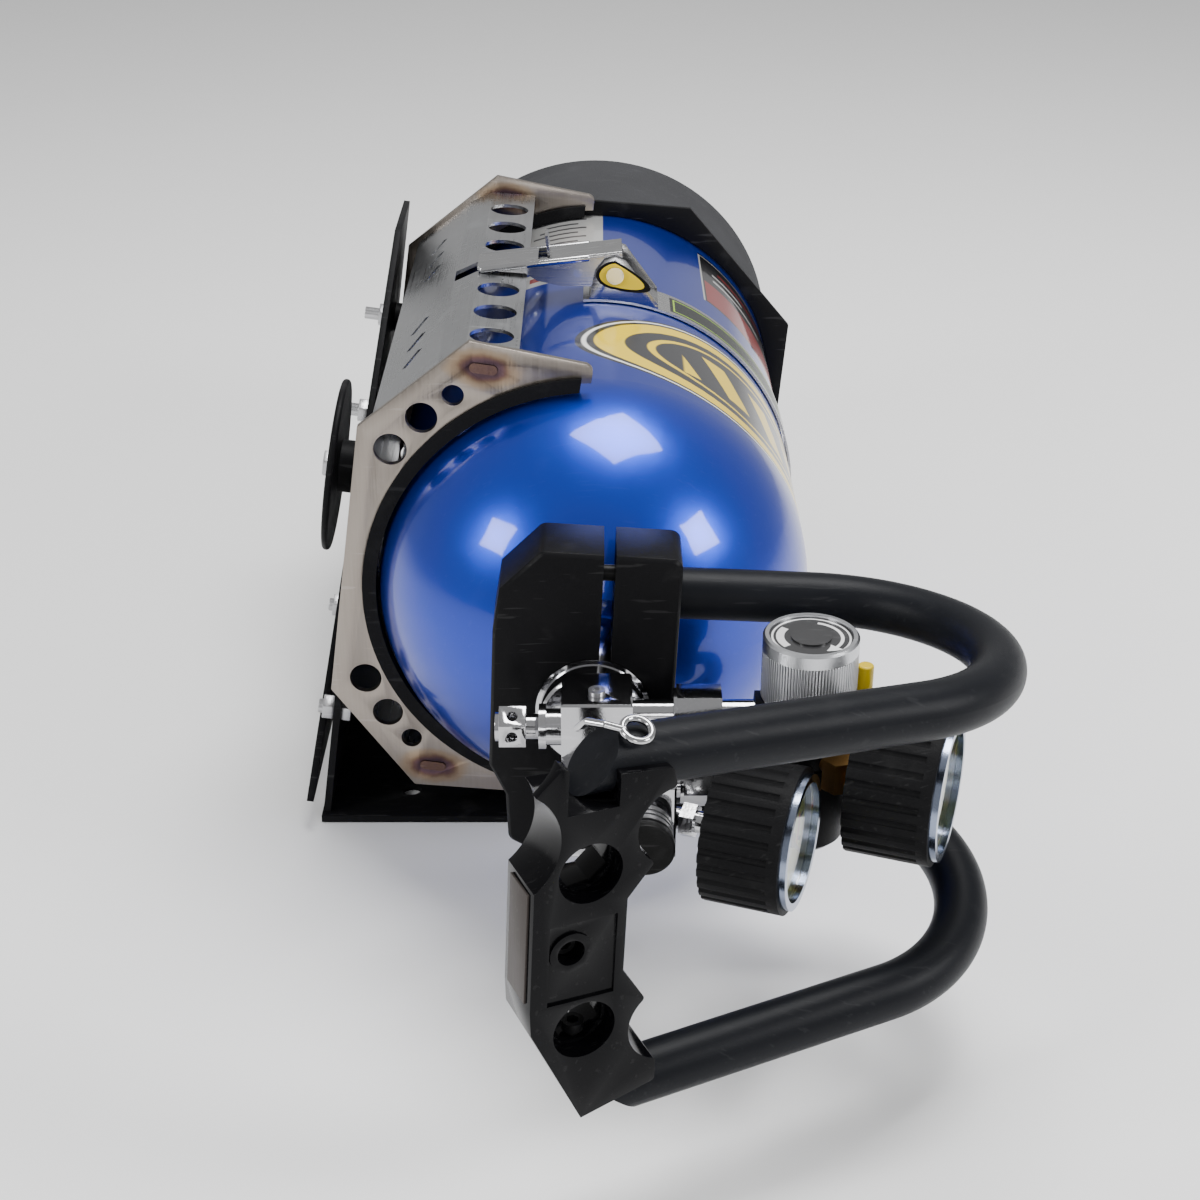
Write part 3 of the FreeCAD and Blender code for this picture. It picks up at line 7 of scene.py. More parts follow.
import bpy
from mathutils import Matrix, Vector

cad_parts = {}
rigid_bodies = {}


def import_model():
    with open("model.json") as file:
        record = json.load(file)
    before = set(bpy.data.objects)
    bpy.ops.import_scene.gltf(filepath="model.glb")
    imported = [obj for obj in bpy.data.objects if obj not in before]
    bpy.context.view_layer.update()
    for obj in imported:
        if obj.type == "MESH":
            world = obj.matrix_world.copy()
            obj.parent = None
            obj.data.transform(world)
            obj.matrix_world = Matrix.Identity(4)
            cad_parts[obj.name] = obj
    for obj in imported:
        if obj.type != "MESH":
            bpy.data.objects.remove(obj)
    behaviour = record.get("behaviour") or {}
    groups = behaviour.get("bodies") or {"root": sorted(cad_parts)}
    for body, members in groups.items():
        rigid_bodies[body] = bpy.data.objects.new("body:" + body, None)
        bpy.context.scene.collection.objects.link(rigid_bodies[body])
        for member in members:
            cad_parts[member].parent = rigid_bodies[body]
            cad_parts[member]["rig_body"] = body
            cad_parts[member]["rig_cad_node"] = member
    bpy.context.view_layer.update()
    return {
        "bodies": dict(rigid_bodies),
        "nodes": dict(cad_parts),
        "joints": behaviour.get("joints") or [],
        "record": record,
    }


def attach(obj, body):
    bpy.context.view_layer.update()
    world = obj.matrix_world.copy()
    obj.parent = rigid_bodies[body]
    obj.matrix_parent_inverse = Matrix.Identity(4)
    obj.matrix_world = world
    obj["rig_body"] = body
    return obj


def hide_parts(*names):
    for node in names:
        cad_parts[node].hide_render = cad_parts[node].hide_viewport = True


log = logging.getLogger("air_pack")

MM = 0.001
ROW = Vector((5.255, -121.5, 110.0))      # cylinder axis frame to row frame, mm

# Sizes and places in mm, from the middle of the cylinder's axis at the front end plate.
CYLINDER_R = 88.0
BAND_OUTER_R = 89.0
BAND_Y = 120.0
CRADLE_ROLL = math.radians(8.3)
WELD = (-56.0, 90.4)                      # plug weld across and up, before the roll
LATCH_PIVOT = (9.1, BAND_Y, 100.4)
LEVER_SLOPE = 6.5                         # degrees, free end low
EAR_FACE_Y = 107.5
KNOB_CENTRE = (77.0, -105.0, 0.0)
TANK_DIAL = (72.0, -152.0, -18.0)
LINE_DIAL = (124.0, -137.0, -7.0)
TANK_DIAL_R = 21.4
LINE_DIAL_R = 22.4
CAMERA = (2.6, -725.6, 368.9)


def row(x: float, y: float, z: float) -> Vector:
    """Point given in mm from the cylinder's axis, in row-frame metres."""
    return (Vector((x, y, z)) + ROW) * MM


class Look(Enum):
    """How the light grain of a finish runs."""

    SPECKLE = "speckle"
    BRUSHED_X = "brushed_x"
    BRUSHED_Y = "brushed_y"
    BRUSHED_Z = "brushed_z"


@dataclass(frozen=True)
class Finish:
    """One surface finish, with its colour, gloss and fine relief."""

    name: str
    colour: tuple[float, float, float]
    second: tuple[float, float, float]
    metallic: float = 0.0
    roughness: float = 0.5
    roughness_swing: float = 0.12
    grain: float = 900.0
    relief: float = 0.15
    coat: float = 0.0
    look: Look = Look.SPECKLE
    wear: float = 0.25
    mirror: float = 0.5


class Nodes:
    """Short hand for building one node tree."""

    def __init__(self, tree: bpy.types.NodeTree) -> None:
        """Keep the tree to build in."""
        self.tree = tree

    def add(self, kind: str, **settings: object) -> bpy.types.Node:
        """Add a node.

        Args:
            kind: node type name without the ShaderNode prefix.
            settings: properties to set on the node.

        Returns:
            The new node.
        """
        node = self.tree.nodes.new("ShaderNode" + kind)
        for key, value in settings.items():
            setattr(node, key, value)
        return node

    def put(self, socket: bpy.types.NodeSocket, value: object) -> None:
        """Link an output socket into socket, or set a plain value on it."""
        if isinstance(value, bpy.types.NodeSocket):
            self.tree.links.new(value, socket)
        else:
            socket.default_value = value

    def math(self, how: str, a: object, b: object = 0.0, clamp: bool = False
             ) -> bpy.types.NodeSocket:
        """Two-input Math node; returns its output."""
        node = self.add("Math", operation=how, use_clamp=clamp)
        self.put(node.inputs[0], a)
        self.put(node.inputs[1], b)
        return node.outputs[0]

    def mix(self, mask: object, a: object, b: object) -> bpy.types.NodeSocket:
        """Colour mix of a and b by mask; returns the colour."""
        node = self.add("Mix", data_type="RGBA")
        self.put(node.inputs["Factor"], mask)
        for name, value in ((6, a), (7, b)):
            colour = (*value, 1.0) if isinstance(value, tuple) and len(value) == 3 else value
            self.put(node.inputs[name], colour)
        return node.outputs[2]

    def noise(self, vector: object, scale: float, detail: float = 3.0) -> bpy.types.NodeSocket:
        """Noise texture; returns its Factor output."""
        node = self.add("TexNoise")
        self.put(node.inputs["Vector"], vector)
        self.put(node.inputs["Scale"], scale)
        self.put(node.inputs["Detail"], detail)
        return node.outputs["Fac"]

    def span(self, value: object, low: float, high: float, soft: float) -> bpy.types.NodeSocket:
        """Mask that is 1 while value lies between low and high, with soft ends."""
        rise = self.step(value, low, soft)
        fall = self.step(value, high, soft)
        return self.math("SUBTRACT", rise, fall, True)

    def step(self, value: object, edge: float, soft: float) -> bpy.types.NodeSocket:
        """Mask that climbs from 0 to 1 as value passes edge."""
        node = self.add("MapRange", interpolation_type="SMOOTHSTEP")
        self.put(node.inputs["Value"], value)
        node.inputs["From Min"].default_value = edge - soft
        node.inputs["From Max"].default_value = edge + soft
        return node.outputs["Result"]

    def dot(self, vector: object, axis: tuple[float, float, float]) -> bpy.types.NodeSocket:
        """Dot product with a fixed axis; returns the value."""
        node = self.add("VectorMath", operation="DOT_PRODUCT")
        self.put(node.inputs[0], vector)
        node.inputs[1].default_value = axis
        return node.outputs["Value"]

    def minus(self, vector: object, centre: Vector) -> bpy.types.NodeSocket:
        """Vector with centre taken away."""
        node = self.add("VectorMath", operation="SUBTRACT")
        self.put(node.inputs[0], vector)
        node.inputs[1].default_value = centre
        return node.outputs["Vector"]


class SharedEffects:
    """Node groups that several finishes use."""

    def __init__(self) -> None:
        """Build each group once."""
        self.grain = self._grain()
        self.wear = self._wear()
        self.around = self._around()

    @staticmethod
    def _new(name: str, inputs: list[tuple[str, str, object]], outputs: list[tuple[str, str]]
             ) -> tuple[Nodes, bpy.types.Node, bpy.types.Node]:
        """Empty group with its sockets.

        Args:
            name: group name.
            inputs: name, socket type and default of each input.
            outputs: name and socket type of each output.

        Returns:
            The node helper, the group input node and the group output node.
        """
        tree = bpy.data.node_groups.new(name, "ShaderNodeTree")
        for label, kind, value in inputs:
            made = tree.interface.new_socket(name=label, in_out="INPUT", socket_type=kind)
            if value is not None:
                made.default_value = value
        for label, kind in outputs:
            tree.interface.new_socket(name=label, in_out="OUTPUT", socket_type=kind)
        source = tree.nodes.new("NodeGroupInput")
        sink = tree.nodes.new("NodeGroupOutput")
        return Nodes(tree), source, sink

    def _grain(self) -> bpy.types.NodeTree:
        """Stretched fine noise, as height and as a light and dark tone."""
        n, source, sink = self._new(
            "surface_grain", [("Place", "NodeSocketVector", None),
                              ("Stretch", "NodeSocketVector", (1.0, 1.0, 1.0)),
                              ("Scale", "NodeSocketFloat", 900.0)],
            [("Height", "NodeSocketFloat"), ("Tone", "NodeSocketFloat")])
        scaled = n.add("VectorMath", operation="MULTIPLY")
        n.put(scaled.inputs[0], source.outputs["Place"])
        n.put(scaled.inputs[1], source.outputs["Stretch"])
        fine = n.noise(scaled.outputs[0], source.outputs["Scale"], 4.0)
        broad = n.noise(source.outputs["Place"], 24.0, 3.0)
        n.put(sink.inputs["Height"], fine)
        n.put(sink.inputs["Tone"], n.math("ADD", n.math("MULTIPLY", fine, 0.5),
                                          n.math("MULTIPLY", broad, 0.5)))
        return n.tree

    def _wear(self) -> bpy.types.NodeTree:
        """Thin scratches and small rubs as one mask."""
        n, source, sink = self._new(
            "handling_wear", [("Place", "NodeSocketVector", None),
                              ("Amount", "NodeSocketFloat", 0.3)],
            [("Mask", "NodeSocketFloat")])
        total = None
        for turn, scale in ((0.4, 38.0), (1.9, 55.0), (2.7, 30.0)):
            mapping = n.add("Mapping")
            n.put(mapping.inputs["Vector"], source.outputs["Place"])
            mapping.inputs["Rotation"].default_value = (turn, turn * 0.7, turn * 1.3)
            mapping.inputs["Scale"].default_value = (1.0, 22.0, 9.0)
            line = n.step(n.noise(mapping.outputs[0], scale, 2.0), 0.70, 0.03)
            total = line if total is None else n.math("MAXIMUM", total, line)
        rub = n.step(n.noise(source.outputs["Place"], 70.0, 5.0), 0.66, 0.08)
        both = n.math("MAXIMUM", total, n.math("MULTIPLY", rub, 0.5))
        n.put(sink.inputs["Mask"], n.math("MULTIPLY", both, source.outputs["Amount"], True))
        return n.tree

    def _around(self) -> bpy.types.NodeTree:
        """Radius and angle about an axis, from two directions across it."""
        n, source, sink = self._new(
            "about_axis", [("Place", "NodeSocketVector", None),
                           ("Centre", "NodeSocketVector", (0.0, 0.0, 0.0)),
                           ("Across", "NodeSocketVector", (1.0, 0.0, 0.0)),
                           ("Up", "NodeSocketVector", (0.0, 0.0, 1.0))],
            [("Radius", "NodeSocketFloat"), ("Angle", "NodeSocketFloat"),
             ("Side", "NodeSocketFloat"), ("Height", "NodeSocketFloat")])
        gap = n.add("VectorMath", operation="SUBTRACT")
        n.put(gap.inputs[0], source.outputs["Place"])
        n.put(gap.inputs[1], source.outputs["Centre"])
        values = []
        for name in ("Across", "Up"):
            dot = n.add("VectorMath", operation="DOT_PRODUCT")
            n.put(dot.inputs[0], gap.outputs[0])
            n.put(dot.inputs[1], source.outputs[name])
            values.append(dot.outputs["Value"])
        side, up = values
        square = n.math("ADD", n.math("MULTIPLY", side, side), n.math("MULTIPLY", up, up))
        n.put(sink.inputs["Radius"], n.math("SQRT", square))
        n.put(sink.inputs["Angle"], n.math("ARCTAN2", side, up))
        n.put(sink.inputs["Side"], side)
        n.put(sink.inputs["Height"], up)
        return n.tree


STRETCH = {
    Look.SPECKLE: (1.0, 1.0, 1.0),
    Look.BRUSHED_X: (0.03, 1.0, 1.0),
    Look.BRUSHED_Y: (1.0, 0.03, 1.0),
    Look.BRUSHED_Z: (1.0, 1.0, 0.03),
}


class Paintwork:
    """Builds the materials of the whole pack."""

    def __init__(self) -> None:
        """Make the shared effects and an empty shelf of materials."""
        self.effects = SharedEffects()
        self.shelf: dict[str, bpy.types.Material] = {}

    def group(self, n: Nodes, tree: bpy.types.NodeTree, **values: object) -> bpy.types.Node:
        """Place a group node with the given input values."""
        node = n.add("Group", node_tree=tree)
        for key, value in values.items():
            n.put(node.inputs[key.capitalize()], value)
        return node

    def base(self, finish: Finish) -> tuple[bpy.types.Material, Nodes, dict]:
        """Start a material with grain, wear and gloss variation.

        Args:
            finish: the finish to build.

        Returns:
            The material, its node helper and its useful sockets by name.
        """
        mat = bpy.data.materials.new(finish.name)
        mat.use_nodes = True
        n = Nodes(mat.node_tree)
        shader = mat.node_tree.nodes["Principled BSDF"]
        shader.inputs["Metallic"].default_value = finish.metallic
        shader.inputs["Coat Weight"].default_value = finish.coat
        shader.inputs["Coat Roughness"].default_value = 0.06
        shader.inputs["Specular IOR Level"].default_value = finish.mirror
        place = n.add("TexCoord").outputs["Object"]
        grain = self.group(n, self.effects.grain, place=place, stretch=STRETCH[finish.look],
                           scale=finish.grain)
        wear = self.group(n, self.effects.wear, place=place, amount=finish.wear)
        colour = n.mix(grain.outputs["Tone"], finish.colour, finish.second)
        lighter = tuple(min(1.0, 0.12 + 1.5 * c) for c in finish.colour)
        colour = n.mix(wear.outputs["Mask"], colour, lighter)
        swing = n.math("MULTIPLY", n.math("SUBTRACT", grain.outputs["Tone"], 0.5),
                       finish.roughness_swing * 2)
        rough = n.math("ADD", n.math("ADD", swing, finish.roughness),
                       n.math("MULTIPLY", wear.outputs["Mask"], 0.15), True)
        bump = n.add("Bump")
        bump.inputs["Strength"].default_value = finish.relief
        bump.inputs["Distance"].default_value = 0.0004
        n.put(bump.inputs["Height"], grain.outputs["Height"])
        n.put(shader.inputs["Base Color"], colour)
        n.put(shader.inputs["Roughness"], rough)
        n.put(shader.inputs["Normal"], bump.outputs["Normal"])
        self.shelf[finish.name] = mat
        return mat, n, {"place": place, "shader": shader, "colour": colour, "bump": bump}

    def plain(self, finish: Finish) -> bpy.types.Material:
        """Material with only the shared effects."""
        return self.base(finish)[0]

    def cylinder(self) -> bpy.types.Material:
        """Metallic blue paint with an oval badge of plain bars, and blank labels."""
        finish = Finish("cylinder_paint", (0.0008, 0.024, 0.36), (0.0015, 0.04, 0.46), 0.80, 0.30,
                        0.05, 2600.0, 0.05, 0.7, Look.SPECKLE, 0.04)
        mat, n, s = self.base(finish)
        turn = self.group(n, self.effects.around, place=s["place"], centre=row(0, 0, 0))
        arc = n.math("MULTIPLY", turn.outputs["Angle"], CYLINDER_R)
        along = n.math("MULTIPLY", n.dot(n.minus(s["place"], row(0, 0, 0)), (0, 1, 0)), 1000.0)
        u = n.math("DIVIDE", n.math("SUBTRACT", arc, 72.0), 80.0)
        v = n.math("DIVIDE", n.math("SUBTRACT", along, 60.0), 41.0)
        reach = n.math("SQRT", n.math("ADD", n.math("MULTIPLY", u, u), n.math("MULTIPLY", v, v)))
        colour = s["colour"]
        white, black = (0.85, 0.85, 0.83), (0.008, 0.008, 0.01)
        yellow, red = (0.80, 0.56, 0.003), (0.42, 0.006, 0.006)
        for edge, ink in ((1.0, black), (0.965, white), (0.94, black), (0.90, yellow),
                          (0.74, black), (0.62, yellow), (0.575, black)):
            inside = n.math("SUBTRACT", 1.0, n.step(reach, edge, 0.006), True)
            colour = n.mix(inside, colour, ink)
        wave = n.math("SINE", n.math("ADD", n.math("MULTIPLY", arc, 0.24),
                                     n.math("MULTIPLY", along, 0.10)))
        bars = n.math("MULTIPLY", n.step(wave, 0.15, 0.03), n.span(v, -0.38, 0.36, 0.01))
        bars = n.math("MULTIPLY", bars, n.span(u, -0.42, 0.5, 0.01))
        colour = n.mix(bars, colour, yellow)

        def label(c: object, a0: float, a1: float, y0: float, y1: float, ink: tuple) -> object:
            """Lay a rectangle of ink between two arc lengths and two places along."""
            box = n.math("MULTIPLY", n.span(arc, a0, a1, 0.15), n.span(along, y0, y1, 0.15))
            return n.mix(box, c, ink)

        colour = label(colour, 54, 118, 160, 232, black)
        colour = label(colour, 56, 116, 162, 192, red)
        colour = label(colour, 54, 118, 229, 230, white)
        colour = label(colour, 54, 55, 160, 230, white)
        colour = label(colour, 62, 100, 200, 203, white)
        colour = label(colour, 62, 84, 209, 212, white)
        colour = label(colour, 66, 104, 217, 220, red)
        colour = label(colour, -34, 4, 186, 246, white)
        for line in range(7):
            y0 = 192 + 7 * line
            colour = label(colour, -30 + 3 * (line % 3), -4 - 4 * (line % 2), y0, y0 + 2.2,
                           (0.12, 0.12, 0.13))
        colour = label(colour, -32, -14, 142, 160, white)
        colour = label(colour, -30, -16, 148, 154, red)
        n.put(s["shader"].inputs["Base Color"], colour)
        printed = n.step(n.dot(n.minus(s["place"], row(0, 0, 0)), (0, 1, 0)), 0.016, 0.001)
        badge = n.math("SUBTRACT", 1.0, n.step(reach, 1.0, 0.006), True)
        n.put(s["shader"].inputs["Metallic"],
              n.math("MULTIPLY", n.math("SUBTRACT", 1.0, n.math("MULTIPLY", badge, printed)),
                     0.75))
        return mat

    def band_label(self) -> bpy.types.Material:
        """Satin steel band with a black printed strip edged in green."""
        finish = Finish("band_steel", (0.55, 0.55, 0.55), (0.66, 0.66, 0.65), 1.0, 0.28, 0.1,
                        1400.0, 0.1, 0.0, Look.BRUSHED_X, 0.3)
        mat, n, s = self.base(finish)
        turn = self.group(n, self.effects.around, place=s["place"], centre=row(0, 0, 0))
        arc = n.math("MULTIPLY", turn.outputs["Angle"], BAND_OUTER_R)
        along = n.math("MULTIPLY", n.dot(n.minus(s["place"], row(0, BAND_Y, 0)), (0, 1, 0)), 1000.0)
        colour = s["colour"]
        mask = None
        for inset, ink in ((0.0, (0.01, 0.01, 0.01)), (1.6, (0.25, 0.42, 0.03)),
                           (2.4, (0.01, 0.012, 0.01))):
            box = n.math("MULTIPLY", n.span(arc, 34 + inset, 108 - inset, 0.1),
                         n.span(along, -9.5 + inset, 9.5 - inset, 0.1))
            mask = box if mask is None else mask
            colour = n.mix(box, colour, ink)
        n.put(s["shader"].inputs["Base Color"], colour)
        n.put(s["shader"].inputs["Metallic"], n.math("SUBTRACT", 1.0, mask))
        return mat

    def plate(self) -> bpy.types.Material:
        """Brushed stainless with heat colour round each plug weld."""
        finish = Finish("plate_steel", (0.23, 0.20, 0.175), (0.38, 0.34, 0.30), 1.0, 0.34, 0.16,
                        1100.0, 0.2, 0.0, Look.BRUSHED_Z, 0.35)
        mat, n, s = self.base(finish)
        roll = CRADLE_ROLL
        colour = s["colour"]
        x, rise = WELD
        for z in (rise, -rise):
            cx = x * math.cos(roll) + z * math.sin(roll)
            cz = -x * math.sin(roll) + z * math.cos(roll)
            turn = self.group(n, self.effects.around, place=s["place"], centre=row(cx, 0, cz),
                              across=(math.cos(roll) * 0.55, 0.0, -math.sin(roll) * 0.55),
                              up=(math.sin(roll), 0.0, math.cos(roll)))
            away = n.math("MULTIPLY", turn.outputs["Radius"], 1000.0)
            ripple = n.math("MULTIPLY", n.noise(s["place"], 160.0, 3.0), 3.0)
            away = n.math("ADD", away, n.math("SUBTRACT", ripple, 1.5))
            for edge, ink, strength in ((8.0, (0.30, 0.20, 0.11), 0.6),
                                        (5.6, (0.12, 0.055, 0.03), 0.8),
                                        (4.4, (0.07, 0.04, 0.11), 0.5),
                                        (3.4, (0.04, 0.03, 0.03), 0.6)):
                near = n.math("SUBTRACT", 1.0, n.step(away, edge, 1.4), True)
                colour = n.mix(n.math("MULTIPLY", near, strength), colour, ink)
        n.put(s["shader"].inputs["Base Color"], colour)
        return mat

    def dial(self, name: str, centre: Vector, across: Vector, radius: float
             ) -> bpy.types.Material:
        """Gauge face with a tick scale and a coloured arc.

        Args:
            name: material name.
            centre: middle of the face in row-frame metres.
            across: unit direction across the face, level.
            radius: visible radius of the face in mm.

        Returns:
            The material.
        """
        finish = Finish(name, (0.60, 0.64, 0.10), (0.66, 0.70, 0.16), 0.0, 0.45, 0.05, 700.0,
                        0.03, 0.3)
        mat, n, s = self.base(finish)
        turn = self.group(n, self.effects.around, place=s["place"], centre=centre,
                          across=tuple(across))
        r = n.math("MULTIPLY", turn.outputs["Radius"], 1000.0)
        angle = turn.outputs["Angle"]
        colour = s["colour"]
        sweep = n.math("SUBTRACT", 1.0, n.step(n.math("ABSOLUTE", angle), 2.36, 0.01), True)
        white = n.span(r, 0.0, radius * 0.45, 0.2)
        colour = n.mix(white, colour, (0.74, 0.76, 0.50))
        warning = n.math("MULTIPLY", n.span(r, radius * 0.62, radius * 0.72, 0.1),
                         n.span(angle, 1.4, 2.3, 0.01))
        colour = n.mix(warning, colour, (0.62, 0.03, 0.02))
        for count, low, width in ((60.0, 0.82, 0.94), (12.0, 0.72, 0.86)):
            beat = n.math("COSINE", n.math("MULTIPLY", angle, count))
            tick = n.math("MULTIPLY", n.step(beat, width, 0.02), sweep)
            tick = n.math("MULTIPLY", tick, n.span(r, radius * low, radius * 0.93, 0.1))
            colour = n.mix(tick, colour, (0.02, 0.02, 0.02))
        n.put(s["shader"].inputs["Base Color"], colour)
        return mat

    def knob(self) -> bpy.types.Material:
        """Turned alloy with a fine vertical knurl between two plain bands, and painted shade in the
        knurl's grooves.
        """
        finish = Finish("knob_alloy", (0.50, 0.51, 0.53), (0.62, 0.63, 0.65), 1.0, 0.30, 0.08,
                        1500.0, 0.08, 0.0, Look.SPECKLE, 0.2)
        mat, n, s = self.base(finish)
        turn = self.group(n, self.effects.around, place=s["place"], centre=row(*KNOB_CENTRE),
                          across=(1.0, 0.0, 0.0), up=(0.0, 1.0, 0.0))
        height = n.math("MULTIPLY", n.dot(n.minus(s["place"], row(*KNOB_CENTRE)), (0, 0, 1)),
                        1000.0)
        ridge = n.math("SINE", n.math("MULTIPLY", turn.outputs["Angle"], 96.0))
        band = n.math("MULTIPLY", n.span(height, 14.5, 32.5, 0.3),
                      n.step(turn.outputs["Radius"], 0.0166, 0.0001))
        knurl = n.math("MULTIPLY", ridge, band)
        bump = n.add("Bump")
        bump.inputs["Strength"].default_value = 0.7
        bump.inputs["Distance"].default_value = 0.0004
        n.put(bump.inputs["Height"], knurl)
        n.put(bump.inputs["Normal"], s["bump"].outputs["Normal"])
        n.put(s["shader"].inputs["Normal"], bump.outputs["Normal"])
        # Painted shade: the colour goes darker down in the grooves of the knurl.
        dark = n.math("MULTIPLY", n.step(n.math("MULTIPLY", knurl, -1.0), 0.4, 0.3), 0.7)
        n.put(s["shader"].inputs["Base Color"], n.mix(dark, s["colour"], (0.2, 0.2, 0.21)))
        return mat

    def knob_label(self) -> bpy.types.Material:
        """Black ring with a white turning arrow round a darker centre."""
        finish = Finish("knob_label", (0.012, 0.012, 0.013), (0.03, 0.03, 0.032), 0.0, 0.3,
                        0.1, 900.0, 0.05, 0.4)
        mat, n, s = self.base(finish)
        turn = self.group(n, self.effects.around, place=s["place"], centre=row(*KNOB_CENTRE),
                          across=(1.0, 0.0, 0.0), up=(0.0, 1.0, 0.0))
        r = n.math("MULTIPLY", turn.outputs["Radius"], 1000.0)
        angle = turn.outputs["Angle"]
        colour = s["colour"]
        ink = (0.8, 0.8, 0.8)
        arrow = n.math("MULTIPLY", n.span(r, 10.4, 11.6, 0.08), n.span(angle, 0.3, 2.4, 0.01))
        tip_half = n.math("MULTIPLY", n.math("SUBTRACT", angle, 2.3), -6.0)
        tip = n.math("LESS_THAN", n.math("ABSOLUTE", n.math("SUBTRACT", r, 11.0)),
                     n.math("ADD", tip_half, 2.6))
        tip = n.math("MULTIPLY", tip, n.span(angle, 2.3, 2.75, 0.005))
        bar = n.math("MULTIPLY", n.span(r, 9.6, 12.4, 0.08), n.span(angle, -2.2, -0.9, 0.01))
        for mask in (n.span(r, 13.4, 14.1, 0.08), arrow, tip, n.math("MULTIPLY", bar, 0.85)):
            colour = n.mix(mask, colour, ink)
        n.put(s["shader"].inputs["Base Color"], colour)
        return mat

    def lens(self) -> bpy.types.Material:
        """Clear gauge window with the faintest smear in its gloss."""
        mat = bpy.data.materials.new("clear_lens")
        mat.use_nodes = True
        n = Nodes(mat.node_tree)
        shader = mat.node_tree.nodes["Principled BSDF"]
        shader.inputs["Transmission Weight"].default_value = 1.0
        shader.inputs["IOR"].default_value = 1.3
        place = n.add("TexCoord").outputs["Object"]
        smear = n.noise(place, 130.0, 4.0)
        n.put(shader.inputs["Roughness"], n.math("MULTIPLY", smear, 0.07))
        n.put(shader.inputs["Base Color"], n.mix(smear, (0.97, 0.99, 0.97), (0.93, 0.96, 0.94)))
        self.shelf["clear_lens"] = mat
        return mat


FINISHES = (
    Finish("boot_rubber", (0.022, 0.022, 0.024), (0.055, 0.056, 0.06), 0.0, 0.85, 0.1, 1500.0,
           0.9, 0.0, Look.SPECKLE, 0.1, 0.15),
    Finish("black_rubber", (0.004, 0.004, 0.0045), (0.012, 0.012, 0.013), 0.0, 0.75, 0.12,
           1200.0, 0.4, 0.0, Look.SPECKLE, 0.1, 0.08),
    Finish("weld_metal", (0.16, 0.10, 0.06), (0.09, 0.05, 0.07), 1.0, 0.35, 0.2, 500.0, 0.5),
    Finish("satin_sheet", (0.30, 0.31, 0.32), (0.48, 0.48, 0.49), 1.0, 0.30, 0.2, 1000.0,
           0.18, 0.0, Look.BRUSHED_Y, 0.6),
    Finish("latch_steel", (0.36, 0.36, 0.37), (0.52, 0.52, 0.52), 1.0, 0.24, 0.14, 1300.0,
           0.12, 0.0, Look.BRUSHED_X, 0.35),
    Finish("chrome_parts", (0.44, 0.44, 0.45), (0.60, 0.60, 0.61), 1.0, 0.10, 0.06, 1500.0,
           0.04, 0.0, Look.SPECKLE, 0.15),
    Finish("black_coat", (0.003, 0.003, 0.0035), (0.009, 0.009, 0.010), 0.0, 0.45, 0.12,
           2200.0, 0.25, 0.0, Look.SPECKLE, 0.15, 0.07),
    Finish("black_screw", (0.004, 0.004, 0.004), (0.012, 0.012, 0.013), 0.0, 0.35, 0.12,
           1400.0, 0.12, 0.0, Look.SPECKLE, 0.1, 0.1),
    Finish("screw_steel", (0.36, 0.36, 0.37), (0.50, 0.50, 0.51), 1.0, 0.30, 0.12, 1400.0,
           0.12, 0.0, Look.SPECKLE, 0.3),
    Finish("satin_black", (0.003, 0.003, 0.0035), (0.008, 0.008, 0.009), 0.0, 0.34, 0.08,
           2600.0, 0.25, 0.0, Look.SPECKLE, 0.1, 0.07),
    Finish("tube_black", (0.003, 0.0034, 0.0048), (0.008, 0.009, 0.012), 0.0, 0.40, 0.06,
           3000.0, 0.22, 0.0, Look.SPECKLE, 0.06, 0.12),
    Finish("gloss_black", (0.0015, 0.0015, 0.002), (0.004, 0.004, 0.005), 0.0, 0.12, 0.05,
           2400.0, 0.05, 0.0, Look.SPECKLE, 0.05, 0.1),
    Finish("label_plate", (0.035, 0.029, 0.027), (0.07, 0.06, 0.055), 0.2, 0.45, 0.1, 900.0,
           0.1, 0.0, Look.BRUSHED_Z, 0.2, 0.1),
    Finish("valve_chrome", (0.40, 0.40, 0.42), (0.58, 0.58, 0.59), 1.0, 0.11, 0.07, 1300.0,
           0.05, 0.0, Look.SPECKLE, 0.2),
    Finish("brass_fitting", (0.38, 0.20, 0.06), (0.46, 0.27, 0.10), 1.0, 0.30, 0.06, 400.0,
           0.03, 0.0, Look.SPECKLE, 0.05),
    Finish("yellow_plastic", (0.78, 0.55, 0.003), (0.84, 0.60, 0.006), 0.0, 0.45, 0.1, 900.0,
           0.15, 0.1, Look.SPECKLE, 0.05),
    Finish("black_plastic", (0.004, 0.004, 0.004), (0.010, 0.010, 0.010), 0.0, 0.4, 0.1,
           1300.0, 0.25, 0.0, Look.SPECKLE, 0.1, 0.1),
    Finish("gauge_case_steel", (0.40, 0.41, 0.42), (0.50, 0.50, 0.51), 1.0, 0.3, 0.1, 1000.0,
           0.1),
    Finish("gauge_rubber", (0.003, 0.003, 0.0032), (0.010, 0.010, 0.011), 0.0, 0.5, 0.12,
           1500.0, 0.4, 0.0, Look.SPECKLE, 0.08, 0.07),
    Finish("bezel_chrome", (0.16, 0.20, 0.30), (0.34, 0.38, 0.48), 1.0, 0.16, 0.06, 1500.0,
           0.05, 0.0, Look.SPECKLE, 0.15),
    Finish("needle_black", (0.012, 0.012, 0.012), (0.03, 0.03, 0.03), 0.0, 0.4, 0.1, 900.0,
           0.05),
)


def clear_selection() -> None:
    """Leave edit mode and deselect everything."""
    if bpy.context.object and bpy.context.object.mode != "OBJECT":
        bpy.ops.object.mode_set(mode="OBJECT")
    bpy.ops.object.select_all(action="DESELECT")


def pick(obj: bpy.types.Object) -> None:
    """Select one object alone and make it active."""
    clear_selection()
    obj.select_set(True)
    bpy.context.view_layer.objects.active = obj


